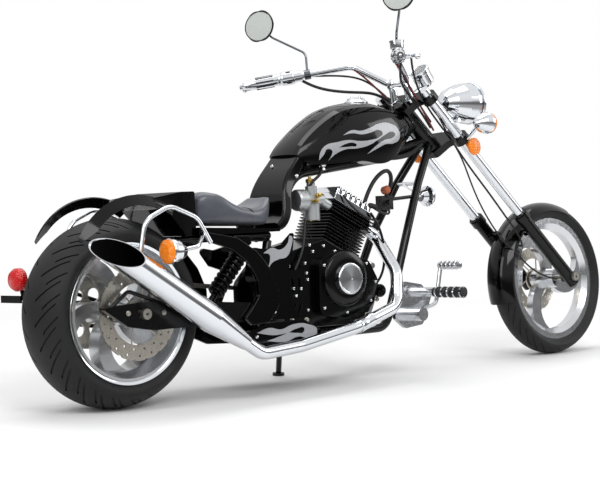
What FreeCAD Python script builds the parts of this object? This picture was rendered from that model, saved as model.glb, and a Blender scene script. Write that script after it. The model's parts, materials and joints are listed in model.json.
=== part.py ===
"""Chopper motorcycle, parked on its side stand.

Every piece is drawn with the machine upright: +X forward, +Y to the left, +Z up, millimetres,
x = 0 at the rear axle and z = 0 on the ground.  At the end the steering is turned to its parked
angle, the whole machine leans on its stand, and one STEP file is written for each piece.
"""
import FreeCAD
import Part
import math
import os

V = FreeCAD.Vector
X, Y, Z = V(1, 0, 0), V(0, 1, 0), V(0, 0, 1)
LEFT, RIGHT = 1, -1
GAP = 0.3                     # seat clearance between two rigid pieces

# ---- stance and steering geometry
wheelbase = 1945.0
rake = 46.0                   # degrees from upright
axle_lead = 38.0              # front axle and fork legs ahead of the steering axis
fork_half_span = 103.5
parked_steer = 4.5            # degrees to the left
parked_lean = 3.9             # degrees to the left

# ---- rear wheel
rear_tyre_radius = 286.0
rear_tyre_half_width = 106.0
rear_crown_radius = 150.0
rear_flange_radius = 212.0
rear_rim_half_width = 95.0
rear_disc_radius = 138.0
rear_disc_y = -136.0
disc_thickness = 5.0
sprocket_y = 136.0

# ---- front wheel
front_tyre_radius = 274.0
front_tyre_half_width = 50.0
front_crown_radius = 62.0
front_flange_radius = 222.0
front_rim_half_width = 30.0
front_disc_radius = 118.0
front_disc_y = 62.0

# ---- axles and bearings
axle_radius = 9.0
axle_bore = 4.0
hub_radius = 34.0
running_fit = 0.05
rear_axle_half = 186.0
front_axle_half = 138.0

# ---- fork
stanchion_radius = 17.5
slider_radius = 23.0
slider_top = 350.0            # along the fork leg from the axle
lower_clamp_at = 735.0
upper_clamp_at = 935.0
clamp_thickness = 26.0
leg_top = 975.0
stem_radius = 14.0
head_tube_radius = 29.0

# ---- frame
cradle_tube_radius = 14.0
backbone_radius = 21.0
cradle_half_span = 112.0
cradle_floor = 168.0
pivot_x, pivot_z = 480.0, 262.0

# ---- exhaust
pipe_radius = 20.0
muffler_radius = 43.0
pipe_wall = 2.0

# ---- drive
chain_pitch = 15.875
rear_teeth = 41
front_teeth = 15
drive_x, drive_z = 590.0, 285.0
roller_radius = 4.5

sin_r, cos_r = math.sin(math.radians(rake)), math.cos(math.radians(rake))
front_axle = V(wheelbase, 0, front_tyre_radius)
rear_axle = V(0, 0, rear_tyre_radius)
up_fork = V(-sin_r, 0, cos_r)                 # along the fork, towards the handlebar
ahead = V(cos_r, 0, sin_r)                    # square to the fork, forward
steer_foot = front_axle - ahead * axle_lead   # steering axis, level with the axle


def on_axis(t, forward=0.0, side=0.0):
    """A point at t along the steering axis, then forward of it and to one side."""
    return steer_foot + up_fork * t + ahead * forward + Y * side


# ---------------------------------------------------------------- drawing helpers
def wire(points, close=True):
    """Edges through (a, b) points; a (a, b, via_a, via_b) point is reached by an arc."""
    flat = [V(p[0], p[1], 0) for p in points]
    edges = []
    pairs = list(zip(range(len(points)), list(range(1, len(points))) + [0]))
    for here, there in pairs if close else pairs[:-1]:
        target = points[there]
        if len(target) == 4:
            arc = Part.Arc(flat[here], V(target[2], target[3], 0), flat[there])
            edges.append(arc.toShape())
        elif flat[here].distanceToPoint(flat[there]) > 1e-6:
            edges.append(Part.LineSegment(flat[here], flat[there]).toShape())
    return Part.Wire(edges)


def rounded(points, radius):
    """Closed outline through (a, b) corners, each corner rounded, as wire() points."""
    count = len(points)
    result = []
    for i in range(count):
        before, here, after = (V(*points[(i + k) % count][:2], 0) for k in (-1, 0, 1))
        size = points[i][2] if len(points[i]) == 3 else radius
        one, two = before - here, after - here
        half = one.getAngle(two) / 2
        cut = min(size / math.tan(half), 0.45 * one.Length, 0.45 * two.Length)
        size = cut * math.tan(half)
        one.normalize()
        two.normalize()
        middle = one + two
        middle.normalize()
        centre = here + middle * (size / math.sin(half))
        via = centre - middle * size
        start, end = here + one * cut, here + two * cut
        result.append((start.x, start.y))
        result.append((end.x, end.y, via.x, via.y))
    return result


def side_slab(points, y_low, y_high):
    """An (x, z) outline pulled sideways from y_low to y_high."""
    face = Part.Face(wire(points))
    face.rotate(V(), X, 90)
    face.translate(V(0, y_high, 0))
    return face.extrude(V(0, y_low - y_high, 0))


def wheel_turned(profile, centre, sweep=360.0, start=0.0):
    """A (y, r) profile turned about the wheel axis; start is measured from +X over the top."""
    face = Part.Face(wire(profile))
    face.Placement = FreeCAD.Placement(V(), FreeCAD.Rotation(Y, Z, X, "XYZ"))
    face.rotate(V(), Y, 90.0 - start)
    solid = face.revolve(V(), V(0, -1, 0), sweep)
    solid.translate(centre)
    return solid


def turned(profile, base, axis, sweep=360.0):
    """A (r, h) profile turned about an axis through base."""
    face = Part.Face(wire(profile))
    face.rotate(V(), X, 90)
    solid = face.revolve(V(), Z, sweep)
    solid.Placement = FreeCAD.Placement(base, FreeCAD.Rotation(Z, axis)).multiply(solid.Placement)
    return solid


def rod(start, end, radius, bore=0.0):
    run = end - start
    solid = Part.makeCylinder(radius, run.Length, start, run)
    if bore:
        solid = solid.cut(Part.makeCylinder(bore, run.Length + 2, start - run.normalize(), run))
    return solid


def path(points, bends):
    """Straight runs joined by tangent arcs; bends holds the radius at each inner point."""
    edges = []
    here = points[0]
    for i in range(1, len(points) - 1):
        one, two = points[i - 1] - points[i], points[i + 1] - points[i]
        half = one.getAngle(two) / 2
        radius = bends[i - 1] if isinstance(bends, (list, tuple)) else bends
        cut = radius / math.tan(half)
        one.normalize()
        two.normalize()
        middle = one + two
        middle.normalize()
        via = points[i] + middle * (radius / math.sin(half) - radius)
        start, end = points[i] + one * cut, points[i] + two * cut
        edges.append(Part.LineSegment(here, start).toShape())
        edges.append(Part.Arc(start, via, end).toShape())
        here = end
    edges.append(Part.LineSegment(here, points[-1]).toShape())
    return Part.Wire(edges)


def bent_tube(points, bends, radius, bore=0.0):
    """A round bar or tube along a bent path."""
    spine = path(points, bends)
    run = points[1] - points[0]

    def swept(r):
        ring = Part.Wire(Part.Circle(points[0], run, r).toShape())
        return spine.makePipeShell([ring], True, False)
    solid = swept(radius)
    return solid.cut(swept(bore)) if bore else solid


def block(low, high):
    return Part.makeBox(high[0] - low[0], high[1] - low[1], high[2] - low[2], V(*low))


def fuse(pieces):
    whole = pieces[0].multiFuse(pieces[1:]) if len(pieces) > 1 else pieces[0]
    return whole.removeSplitter()


def both(make):
    """The same piece on the right and on the left, as two solids."""
    return Part.makeCompound([make(RIGHT), make(LEFT)])


def section_loft(sections):
    return Part.makeLoft([wire_at(*s) for s in sections], True, False)


def wire_at(x, points):
    """A (y, z) outline standing at one x."""
    outline = wire(points)
    outline.Placement = FreeCAD.Placement(V(x, 0, 0), FreeCAD.Rotation(Y, Z, X, "XYZ"))
    return outline


def polar(radius, degrees):
    a = math.radians(degrees)
    return (radius * math.cos(a), radius * math.sin(a))


# ---------------------------------------------------------------- wheels
def bulge(start, end):
    """The end of a side wall's arc, with a middle that stands out from the chord."""
    across, up = end[0] - start[0], end[1] - start[1]
    out = 0.16 if (start[0] + end[0]) * up > 0 else -0.16
    return (end[0], end[1], (start[0] + end[0]) / 2 + up * out, (start[1] + end[1]) / 2 - across * out)


def tyre(centre, radius, half_width, crown, seat, half_rim):
    """Hollow ring that sits on the rim; the tread is one arc from shoulder to shoulder."""
    shoulder = radius - crown + math.sqrt(crown ** 2 - half_width ** 2)
    bead = half_rim - 7.0 - GAP
    lip = seat + 15.0
    wall = 10.0
    inside, belly = bead - wall, half_width - wall
    profile = [(-bead, seat), (-bead, lip), bulge((-bead, lip), (-half_width, shoulder)),
               (half_width, shoulder, 0, radius), bulge((half_width, shoulder), (bead, lip)),
               (bead, seat), (inside, seat), (inside, lip),
               bulge((inside, lip), (belly, shoulder - 6)),
               (-belly, shoulder - 6, 0, radius - wall - 4),
               bulge((-belly, shoulder - 6), (-inside, lip)), (-inside, seat)]
    return wheel_turned(profile, centre)


def spoke(centre, swirl, at, hub, rim, width_in, width_out, y_low, y_high):
    """One curved blade from the hub to the rim."""
    middle = (hub + rim) / 2
    root_a, root_b = polar(hub, at - width_in), polar(hub, at + width_in)
    tip_a, tip_b = polar(rim, at + swirl - width_out), polar(rim, at + swirl + width_out)
    bow_a = polar(middle, at + swirl * 0.28 - (width_in + width_out) * 0.30)
    bow_b = polar(middle, at + swirl * 0.28 + (width_in + width_out) * 0.30)
    outline = [root_a, tip_a + bow_a, tip_b + polar(rim, at + swirl), root_b + bow_b]
    blade = side_slab(outline, y_low, y_high)
    blade.translate(centre)
    return blade


def cast_wheel(centre, flange, half_rim, hub_half, spoke_half, swirl, blades, width_in, width_out):
    """Rim with flanges and a drop centre, swirled spokes and a bored hub, as one casting."""
    seat = flange - 13.0
    drop = flange - 30.0
    barrel = [(-half_rim, flange), (-half_rim + 5, flange), (-half_rim + 7, seat),
              (-half_rim * 0.6, seat), (-half_rim * 0.4, drop), (half_rim * 0.4, drop),
              (half_rim * 0.6, seat), (half_rim - 7, seat), (half_rim - 5, flange),
              (half_rim, flange), (half_rim, seat - 7), (half_rim * 0.5, drop - 8),
              (-half_rim * 0.5, drop - 8), (-half_rim, seat - 7)]
    pieces = [wheel_turned(barrel, centre)]
    pieces.append(rod(centre - Y * hub_half, centre + Y * hub_half, hub_radius))
    for n in range(blades):
        pieces.append(spoke(centre, swirl, 360.0 / blades * n + 90, hub_radius - 4, drop - 5,
                            width_in, width_out, -spoke_half, spoke_half))
    bore = rod(centre - Y * (hub_half + 1), centre + Y * (hub_half + 1), axle_radius + running_fit)
    return fuse(pieces).cut(bore)


def brake_disc(centre, radius, y, holes, waves):
    """Drilled rotor with a scalloped rim on a ring of carrier arms."""
    y_low, y_high = y - disc_thickness / 2, y + disc_thickness / 2
    low, high = centre + Y * y_low, centre + Y * y_high
    rotor = rod(low, high, radius, radius * 0.66)
    cuts = []
    for n in range(waves):
        x, z = polar(radius + 5.0, 360.0 / waves * n)
        cuts.append(rod(low + V(x, -1, z), high + V(x, 1, z), 9.0))
    for n in range(holes):
        x, z = polar(radius * (0.90 if n % 2 else 0.76), 360.0 / holes * n)
        cuts.append(rod(low + V(x, -1, z), high + V(x, 1, z), 4.0))
    rotor = rotor.cut(Part.makeCompound(cuts))
    carrier = [rod(low, high, hub_radius + 8, hub_radius - 8)]
    for n in range(6):
        inner, outer = polar(hub_radius + 4, 60 * n), polar(radius * 0.70, 60 * n + 14)
        arm = rod(V(inner[0], 0, inner[1]), V(outer[0], 0, outer[1]), disc_thickness / 2 - 0.2)
        arm.translate(centre + Y * y)
        carrier.append(arm)
    return fuse([rotor] + carrier)


def sprocket(centre, teeth, y, bore):
    """Toothed ring; the teeth run between the side plates of the chain."""
    pitch_radius = chain_pitch / (2 * math.sin(math.pi / teeth))
    root = pitch_radius - 8.5
    tip = pitch_radius - roller_radius - GAP
    points = []
    for n in range(teeth):
        at = 360.0 / teeth * n
        step = 360.0 / teeth
        points += [polar(root, at), polar(tip, at + step * 0.35), polar(tip, at + step * 0.65)]
    gear = side_slab(points, y - 3.0, y + 3.0)
    gear.translate(centre)
    cuts = [rod(centre + Y * (y - 5), centre + Y * (y + 5), bore)]
    for n in range(6):
        x, z = polar((root + bore) / 2, 60 * n)
        hole = (root - bore) * 0.30
        cuts.append(rod(centre + V(x, y - 5, z), centre + V(x, y + 5, z), hole))
    return gear.cut(Part.makeCompound(cuts))


def hub_spacer(centre, y_from, y_to):
    """Bored boss that stands a disc or sprocket off the hub."""
    return rod(centre + Y * y_from, centre + Y * y_to, hub_radius - 7, axle_radius + running_fit)


def rear_wheel_pieces():
    hub_half = 100.0
    rim = cast_wheel(rear_axle, rear_flange_radius, rear_rim_half_width, hub_half, 26.0, 34.0, 5, 30.0,
                     13.0)
    seat = rear_flange_radius - 13.0 + GAP
    rubber = tyre(rear_axle, rear_tyre_radius, rear_tyre_half_width, rear_crown_radius, seat,
                  rear_rim_half_width)
    disc = fuse([brake_disc(rear_axle, rear_disc_radius, rear_disc_y, 36, 18),
                 hub_spacer(rear_axle, -hub_half - GAP, rear_disc_y - disc_thickness / 2)])
    gear = fuse([sprocket(rear_axle, rear_teeth, sprocket_y, hub_radius - 9),
                 hub_spacer(rear_axle, hub_half + GAP, sprocket_y + 4)])
    return {"rear_rim": rim, "rear_tyre": rubber, "rear_disc": disc, "rear_sprocket": gear}


def front_wheel_pieces():
    hub_half = 52.0
    rim = cast_wheel(front_axle, front_flange_radius, front_rim_half_width, hub_half, 13.0, 42.0, 3,
                     34.0, 13.0)
    seat = front_flange_radius - 13.0 + GAP
    rubber = tyre(front_axle, front_tyre_radius, front_tyre_half_width, front_crown_radius, seat,
                  front_rim_half_width)
    disc = fuse([brake_disc(front_axle, front_disc_radius, front_disc_y, 30, 15),
                 hub_spacer(front_axle, hub_half + GAP, front_disc_y + disc_thickness / 2)])
    return {"front_rim": rim, "front_tyre": rubber, "front_disc": disc}


# ---------------------------------------------------------------- fork and steering
def leg_point(t, side, forward=0.0, out=0.0):
    """A point at t up one fork leg from the axle."""
    return front_axle + up_fork * t + ahead * forward + Y * side * (fork_half_span + out)


def stanchions():
    return both(lambda s: rod(leg_point(slider_top + GAP, s), leg_point(leg_top, s),
                              stanchion_radius))


def sliders():
    def one(s):
        leg = rod(leg_point(-30, s), leg_point(slider_top, s), slider_radius)
        collar = rod(leg_point(slider_top - 34, s), leg_point(slider_top - 6, s), slider_radius + 4)
        boss = rod(front_axle + Y * s * (fork_half_span - slider_radius),
                   front_axle + Y * s * (fork_half_span + slider_radius), 19.0)
        solid = fuse([leg, collar, boss])
        bore = rod(front_axle + Y * s * 60, front_axle + Y * s * 150, axle_radius + GAP / 2)
        return solid.cut(bore)
    return both(one)


def front_axle_pin():
    pin = rod(front_axle - Y * front_axle_half, front_axle + Y * front_axle_half, axle_radius,
              axle_bore)
    nuts = [rod(front_axle + Y * s * (fork_half_span + slider_radius + GAP),
                front_axle + Y * s * front_axle_half, 15.0, axle_bore) for s in (LEFT, RIGHT)]
    return fuse([pin] + nuts)


def yoke(at, reach):
    """A fork yoke: two split clamps on the legs, joined by a waisted plate at the stem."""
    half = clamp_thickness / 2
    span, ring = fork_half_span, stanchion_radius + 11
    outline = rounded([(-30, -26, 20), (-30, 26, 20), (axle_lead - 14, span * 0.6, 30),
                       (axle_lead - 16, span), (axle_lead + 16, span),
                       (reach, span * 0.45, 30), (reach, -span * 0.45, 30),
                       (axle_lead + 16, -span), (axle_lead - 16, -span),
                       (axle_lead - 14, -span * 0.6, 30)], 8)
    plate = Part.Face(wire(outline)).extrude(Z * clamp_thickness)
    plate.translate(Z * -half)
    rings = [Part.makeCylinder(ring, clamp_thickness, V(axle_lead, s * span, -half)) for s in
             (LEFT, RIGHT)]
    solid = fuse([plate] + rings)
    for s in (LEFT, RIGHT):
        solid = solid.cut(Part.makeCylinder(stanchion_radius + GAP / 2, clamp_thickness + 2,
                                            V(axle_lead, s * span, -half - 1)))
    if at == upper_clamp_at:
        solid = solid.cut(Part.makeCylinder(stem_radius + GAP / 2, clamp_thickness + 2,
                                            V(0, 0, -half - 1)))
    solid.Placement = FreeCAD.Placement(on_axis(at), FreeCAD.Rotation(ahead, Y, up_fork, "ZXY"))
    return solid


def steering_stem():
    low, high = lower_clamp_at - clamp_thickness / 2, upper_clamp_at + clamp_thickness / 2
    pin = rod(on_axis(low), on_axis(high + 10), stem_radius)
    nut = rod(on_axis(high + GAP), on_axis(high + 14), stem_radius + 7)
    return fuse([pin, nut])


lower_reach = axle_lead + 34.0
upper_reach = axle_lead + 26.0


def lower_yoke():
    return fuse([yoke(lower_clamp_at, lower_reach), steering_stem()])


bar_radius = 11.0
bar_middle = on_axis(1001, 60)
bar_bend = {s: V(1120, s * 104, 1058) for s in (LEFT, RIGHT)}
bar_end = {s: V(846, s * 381, 1020) for s in (LEFT, RIGHT)}
grip_length = 142.0


def handlebar():
    """Pull-back bar on two risers."""
    halves = [bent_tube([bar_middle, bar_middle + V(-6, s * 44, 4), bar_bend[s], bar_end[s]], [30, 50],
                        bar_radius) for s in (LEFT, RIGHT)]
    top = upper_clamp_at + clamp_thickness / 2 + GAP
    risers = []
    for s in (LEFT, RIGHT):
        foot = on_axis(top, 24, s * 36)
        risers.append(rod(foot, foot + up_fork * 14, 17.0))
        risers.append(rod(foot + up_fork * 8, bar_middle + V(-3, s * 32, 2), 13.0))
        risers.append(rod(bar_middle + V(0, s * 20, 2), bar_middle + V(0, s * 44, 2), 19.0))
    return fuse(halves + risers)


def along_bar(s, from_end):
    """A point on the straight of the bar, and the direction towards its end."""
    outward = (bar_end[s] - bar_bend[s]).normalize()
    return bar_end[s] - outward * from_end, outward


def sleeve(s, from_end, profile):
    """A turned piece round the bar, from a point measured back from the bar's end."""
    start, outward = along_bar(s, from_end)
    return turned(profile, start, outward)


def grips():
    inside = bar_radius + GAP
    ribs = [(inside, 0), (20, 0), (20, 5), (16.5, 9), (18, 60), (16.5, 118), (20, 130),
            (20, grip_length - 6), (14, grip_length), (inside, grip_length)]
    return both(lambda s: sleeve(s, grip_length, ribs))


def bar_control(s):
    """Switch housing, perch and a blade that runs ahead of the grip to a ball end."""
    inside = bar_radius + GAP
    housing = sleeve(s, grip_length + 50, [(inside, 0), (21, 0), (24, 6), (24, 40), (21, 48),
                                           (inside, 48)])
    collar = sleeve(s, grip_length + 76, [(inside, 0), (19, 0), (19, 27), (inside, 27)])
    perch, outward = along_bar(s, grip_length + 63)
    forward = V(outward.y * s, -outward.x * s, 0).normalize()
    pivot = perch + forward * 44
    knee = pivot + outward * 50 + forward * 22 - Z * 2
    tip = pivot + outward * 190 + forward * 10 - Z * 8
    solids = [housing, collar, rod(perch + forward * 17, pivot, 9.0), Part.makeSphere(10, pivot),
              bent_tube([pivot, knee, tip], [60], 5.5), Part.makeSphere(9, tip)]
    if s == RIGHT:
        solids.append(turned([(0, 16), (12, 16), (20, 24), (22, 28), (22, 44), (24, 46), (24, 52),
                              (0, 54)], perch, Z))
    return fuse(solids)


mirror_centre = {s: V(915, s * 332, 1226) for s in (LEFT, RIGHT)}


def oval(half_wide, half_high):
    """Four arcs through the ends and the top and bottom of an oval."""
    a, b = half_wide * 0.77, half_high * 0.77
    return [(-half_wide, 0), (0, -half_high, -a, -b * 0.86), (half_wide, 0, a, -b * 0.86),
            (0, half_high, a, b * 0.86), (-half_wide, 0, -a, b * 0.86)]


def mirrors():
    """Oval heads on bent stems, each clamped to the bar inboard of its perch."""
    def one(s):
        inside = bar_radius + GAP
        clamp = sleeve(s, grip_length + 106, [(inside, 0), (17, 0), (17, 22), (inside, 22)])
        foot, outward = along_bar(s, grip_length + 95)
        head = mirror_centre[s]
        stem = bent_tube([foot + Z * 15, foot + V(2, s * 2, 74), head + V(30, -s * 30, -44),
                          head + V(10, 0, -8)], [28, 24], 4.0)
        dome = section_loft([(x, oval(72 * size, 52 * size)) for x, size in
                             ((0, 1.0), (8, 0.92), (16, 0.62), (20, 0.3))])
        dome.translate(head)
        return fuse([clamp, stem, dome])
    return both(one)


def headlamp():
    """Bucket on a forked bracket, with a deep rim and a domed lens."""
    return turned([(0, 0), (66, 2), (70, 6), (72, 14), (72, 24), (68, 60), (52, 110), (30, 142),
                   (0, 152)], V(1596, 0, 920), -X)


def headlamp_bracket():
    foot = V(1500, 0, 864)
    root = on_axis(lower_clamp_at, lower_reach + GAP, 0)
    pedestal = bent_tube([root, root + ahead * 26, foot + V(0, 0, -24), foot + V(0, 0, -2)],
                         [14, 14], 9.0)
    return fuse([pedestal, rod(foot + V(0, -30, -6), foot + V(0, 30, -6), 6.0)])


def lamp_unit():
    return fuse([headlamp(), headlamp_bracket()])


def signal_body(at, facing, radius, depth):
    """Bullet shell; the lens closes its mouth."""
    return turned([(0, 0), (radius - 4, 0), (radius, 3), (radius, 12), (radius * 0.86, depth * 0.5),
                   (radius * 0.45, depth * 0.88), (0, depth)], at, facing * -1)


def signal_lens(at, facing, radius):
    return turned([(0, GAP), (radius - 2, GAP), (radius - 3, 8), (radius * 0.6, 15), (0, 17)], at, facing)


front_signal_at = {s: V(1462, s * 192, 828) for s in (LEFT, RIGHT)}
rear_signal_at = {s: V(52, s * 232, 466) for s in (LEFT, RIGHT)}
signal_radius = 38.0


def front_signals():
    def one(s):
        at = front_signal_at[s]
        foot = leg_point(lower_clamp_at - 6, s, 0, stanchion_radius + 11 + GAP)
        stalk = rod(foot - Y * s * 6, at + V(-40, 0, 0), 7.0)
        clamp = rod(leg_point(lower_clamp_at - 40, s), leg_point(lower_clamp_at + 30, s),
                    stanchion_radius + 11 + GAP)
        return fuse([signal_body(at, X, signal_radius, 66), stalk]).cut(clamp)
    return both(one)


def front_lenses():
    lenses = [signal_lens(front_signal_at[s], X, signal_radius) for s in (LEFT, RIGHT)]
    return Part.makeCompound(lenses + [fork_reflector(s) for s in (LEFT, RIGHT)])


def fork_reflector(s):
    at = leg_point(lower_clamp_at - 45, s, 0, stanchion_radius)
    return turned([(0, GAP), (27, 5), (30, 9), (30, 15), (26, 18), (0, 21)], at, Y * s)


def speedometer():
    foot = on_axis(upper_clamp_at, upper_reach + GAP)
    can_at = V(1362, 0, 1008)
    face = V(-0.62, 0, 0.78)
    can = turned([(0, 0), (26, 2), (33, 12), (34, 46), (36, 50), (36, 56), (0, 58)],
                 can_at - face * 30, face)
    puck = rod(foot, foot + ahead * 10, 10.0)
    post = rod(foot + ahead * 6, can_at - face * 26, 7.0)
    return fuse([can, puck, post])


def front_fender():
    """Round-crowned blade over the tyre, on two struts from each slider."""
    centre = front_axle + V(-10, 0, -8)
    inner, wide, hem = front_tyre_radius + 12, front_tyre_half_width + 6, front_tyre_radius - 20
    skin = 3.0
    section = [(-wide - skin, hem), (-wide, hem), (wide, hem, 0, inner), (wide + skin, hem),
               (-wide - skin, hem, 0, inner + skin)]
    pieces = [wheel_turned(section, centre, 128.0, 66.0)]
    for s in (LEFT, RIGHT):
        for t in (240.0, 262.0):
            seat_at = leg_point(t, s, 0, -(slider_radius + GAP))
            pieces.append(rod(seat_at, V(seat_at.x, s * (wide + 1), seat_at.z), 6.0))
    return fuse(pieces)


caliper_half = 24.0
caliper_slot = disc_thickness / 2 + 5.1


def caliper_body(centre, radius, degrees, disc_y):
    """Block that straddles a disc's rim, open towards the hub."""
    x, z = polar(radius, degrees)
    body = block((-34, -caliper_half, -26), (34, caliper_half, 26))
    body = body.cut(block((-60, -caliper_slot, -40), (60, caliper_slot, 16)))
    body.Placement = FreeCAD.Placement(centre + V(x, disc_y, z), FreeCAD.Rotation(Y, 90 - degrees))
    return body


def front_caliper():
    """Two-piece caliper behind the left leg, on a bracket from the slider."""
    body = caliper_body(front_axle, front_disc_radius, 170, front_disc_y)
    x, z = polar(front_disc_radius, 164)
    back = front_axle + V(x, fork_half_span - 8, z)
    arm = fuse([rod(back - Y * 22, back, 9.0), rod(back - Y * 6, leg_point(70, LEFT, 0, -8), 8.0)])
    leg = rod(leg_point(-60, LEFT), leg_point(slider_top, LEFT), slider_radius + GAP)
    return fuse([body, arm]).cut(leg)


# ---------------------------------------------------------------- frame
head_low = lower_clamp_at + clamp_thickness / 2 + 2
head_high = upper_clamp_at - clamp_thickness / 2 - 2
rail_radius = 11.0
rail_y = 84.0
rail_z = 493.7
tank_tunnel_half = 32.0
tank_tunnel_top = 792.0


def neck_core(grow=0.0):
    """Head tube, backbone under the tank, seat rails and their cross tube."""
    backbone = bent_tube([on_axis(head_low + 30), V(1120, 0, 735), V(740, 0, 690), V(650, 0, 560),
                          V(560, 0, 488)], [200, 100, 80], backbone_radius + grow)
    pieces = [rod(on_axis(head_low), on_axis(head_high), head_tube_radius + grow), backbone,
              rod(V(548, -rail_y, rail_z - 6), V(548, rail_y, rail_z - 6), 13.0 + grow)]
    for s in (LEFT, RIGHT):
        pieces.append(rod(V(556, s * rail_y, rail_z), V(196, s * rail_y, rail_z), rail_radius + grow))
    return fuse(pieces)


def frame_neck():
    """The upper frame with two pads that carry the tank."""
    pads = [block((1120, -20, 735), (1160, 20, tank_tunnel_top - GAP)),
            block((760, -20, 690), (800, 20, 732.5))]
    solid = fuse([neck_core()] + pads)
    return solid.cut(rod(on_axis(head_low - 1), on_axis(head_high + 1), stem_radius + running_fit))


pivot_pin_radius = 8.0


def cradle(s, grow=0.0):
    """Down tube, floor rail and rear upright of one side, as one bent tube."""
    return bent_tube([V(1342, s * 24, 772), V(1250, s * 54, 640), V(1160, s * 84, 480),
                      V(1018, s * cradle_half_span, cradle_floor),
                      V(500, s * cradle_half_span, cradle_floor),
                      V(pivot_x, s * cradle_half_span, pivot_z), V(560, s * 70, 476)],
                     [200, 200, 60, 40, 70], cradle_tube_radius + grow)


def frame_cradles():
    """Both bent cradle tubes with the swingarm's bosses; the left one carries the stand's pin."""
    neck = neck_core(GAP)
    sides = []
    for s in (RIGHT, LEFT):
        boss = rod(V(pivot_x, s * 98, pivot_z), V(pivot_x, s * (arm_in - GAP), pivot_z), 15.0)
        parts = [cradle(s).cut(neck), boss] + ([stand_bracket()] if s == LEFT else [])
        pin = rod(V(pivot_x, -200, pivot_z), V(pivot_x, 200, pivot_z), pivot_pin_radius + GAP / 2)
        sides.append(fuse(parts).cut(pin))
    return Part.makeCompound(sides)


arm_in, arm_out = 152.0, 172.0
pin_end = arm_out + 3.5


cross_at = V(360, 0, 276)


def swingarm():
    """Two boxed arms outside the disc and the chain, with pointed tails."""
    def one(s):
        outline = rounded([(-150, 312, 4), (-60, 252, 12), (30, 236, 30), (pivot_x - 20, pivot_z - 26),
                           (pivot_x + 24, pivot_z - 20, 16), (pivot_x + 24, pivot_z + 22, 16),
                           (300, 300, 40), (60, 322, 20), (-20, 322, 20)], 10)
        lo, hi = sorted((s * arm_in, s * arm_out))
        strut = bent_tube([V(-120, s * 162, 306), V(-50, s * 162, 356), V(60, s * 162, 318)], [20], 6.0)
        solid = fuse([side_slab(outline, lo, hi), strut])
        solid = solid.cut(rod(V(0, -200, rear_axle.z), V(0, 200, rear_axle.z), axle_radius + GAP / 2))
        return solid.cut(rod(V(pivot_x, -200, pivot_z), V(pivot_x, 200, pivot_z),
                             pivot_pin_radius + running_fit))
    return both(one)


def swingarm_cross():
    """Cross tube between the arms, and the shaft they swing on."""
    reach = arm_in - GAP
    tube = rod(cross_at - Y * reach, cross_at + Y * reach, 20.0)
    shaft = rod(V(pivot_x, -pin_end, pivot_z), V(pivot_x, pin_end, pivot_z), pivot_pin_radius)
    return Part.makeCompound([tube, shaft])


def rear_axle_pin():
    pin = rod(rear_axle - Y * rear_axle_half, rear_axle + Y * rear_axle_half, axle_radius, axle_bore)
    nuts = [rod(rear_axle + Y * s * (arm_out + GAP), rear_axle + Y * s * rear_axle_half, 16.0, axle_bore)
            for s in (LEFT, RIGHT)]
    return fuse([pin] + nuts)


# ---------------------------------------------------------------- tank, seat and panels
cap_x, cap_z, cap_radius = 1030.0, 912.0, 40.0


tank_seam, tank_seam_normal = V(700, 0, 745), V(0.62, 0, 0.785)


def tank():
    """Arched tank; a raised spine runs over a crease on each side."""
    # x, floor z, floor half width, crease z, crease half width, spine half width, top z
    rows = [(686, 700, 60, 712, 72, 52, 728), (724, 710, 74, 778, 69, 50, 788),
            (800, 714, 94, 838, 70, 52, 852), (888, 718, 104, 884, 77, 56, 900),
            (960, 720, 108, 898, 80, 58, 916), (1056, 712, 101, 898, 79, 58, 918),
            (1143, 752, 86, 881, 75, 48, 894), (1208, 800, 66, 861, 66, 38, 872),
            (1258, 826, 46, 842, 50, 28, 848)]
    sections = []
    for x, floor, low, crease, wide, spine, top in rows:
        bulge = (low + wide) / 2 + (crease - floor) * 0.1
        shoulder = crease + (top - crease) * 0.55
        sections.append((x, [(-low, floor), (low, floor), (wide, crease, bulge, (floor + crease) / 2),
                             (spine, shoulder), (-spine, shoulder, 0, top), (-wide, crease),
                             (-low, floor, -bulge, (floor + crease) / 2)]))
    tunnel = side_slab([(600, 600), (1300, 600), (1300, tank_tunnel_top), (1100, tank_tunnel_top),
                        (1060, 765), (600, 716)], -tank_tunnel_half, tank_tunnel_half)
    cap_seat = Part.makeCylinder(cap_radius + 2, 60, V(cap_x, 0, cap_z))
    head = rod(on_axis(head_low), on_axis(head_high), head_tube_radius + 3)
    yoke_sweep = rod(on_axis(upper_clamp_at - clamp_thickness / 2 - 7), on_axis(leg_top + 60), 84)
    body = section_loft(sections)
    for space in (tunnel, cap_seat, head, neck_core(GAP), yoke_sweep):
        body = body.cut(space)
    return body.cut(behind_seam(GAP / 2))


def behind_seam(grow):
    """Everything on the seat's side of the seam between the tank and the cowl."""
    return beyond(tank_seam + tank_seam_normal * grow, tank_seam_normal * -1)


def beyond(point, normal):
    space = Part.makeBox(800, 800, 800, V(-400, -400, 0))
    space.Placement = FreeCAD.Placement(point, FreeCAD.Rotation(Z, normal))
    return space


def tank_cap():
    return turned([(0, 0), (38, 0), (cap_radius, 3), (cap_radius, 9), (32, 14), (28, 22), (0, 25)],
                  V(cap_x, 0, cap_z + GAP), Z)


cowl_floor = rail_z + rail_radius + GAP


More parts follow.
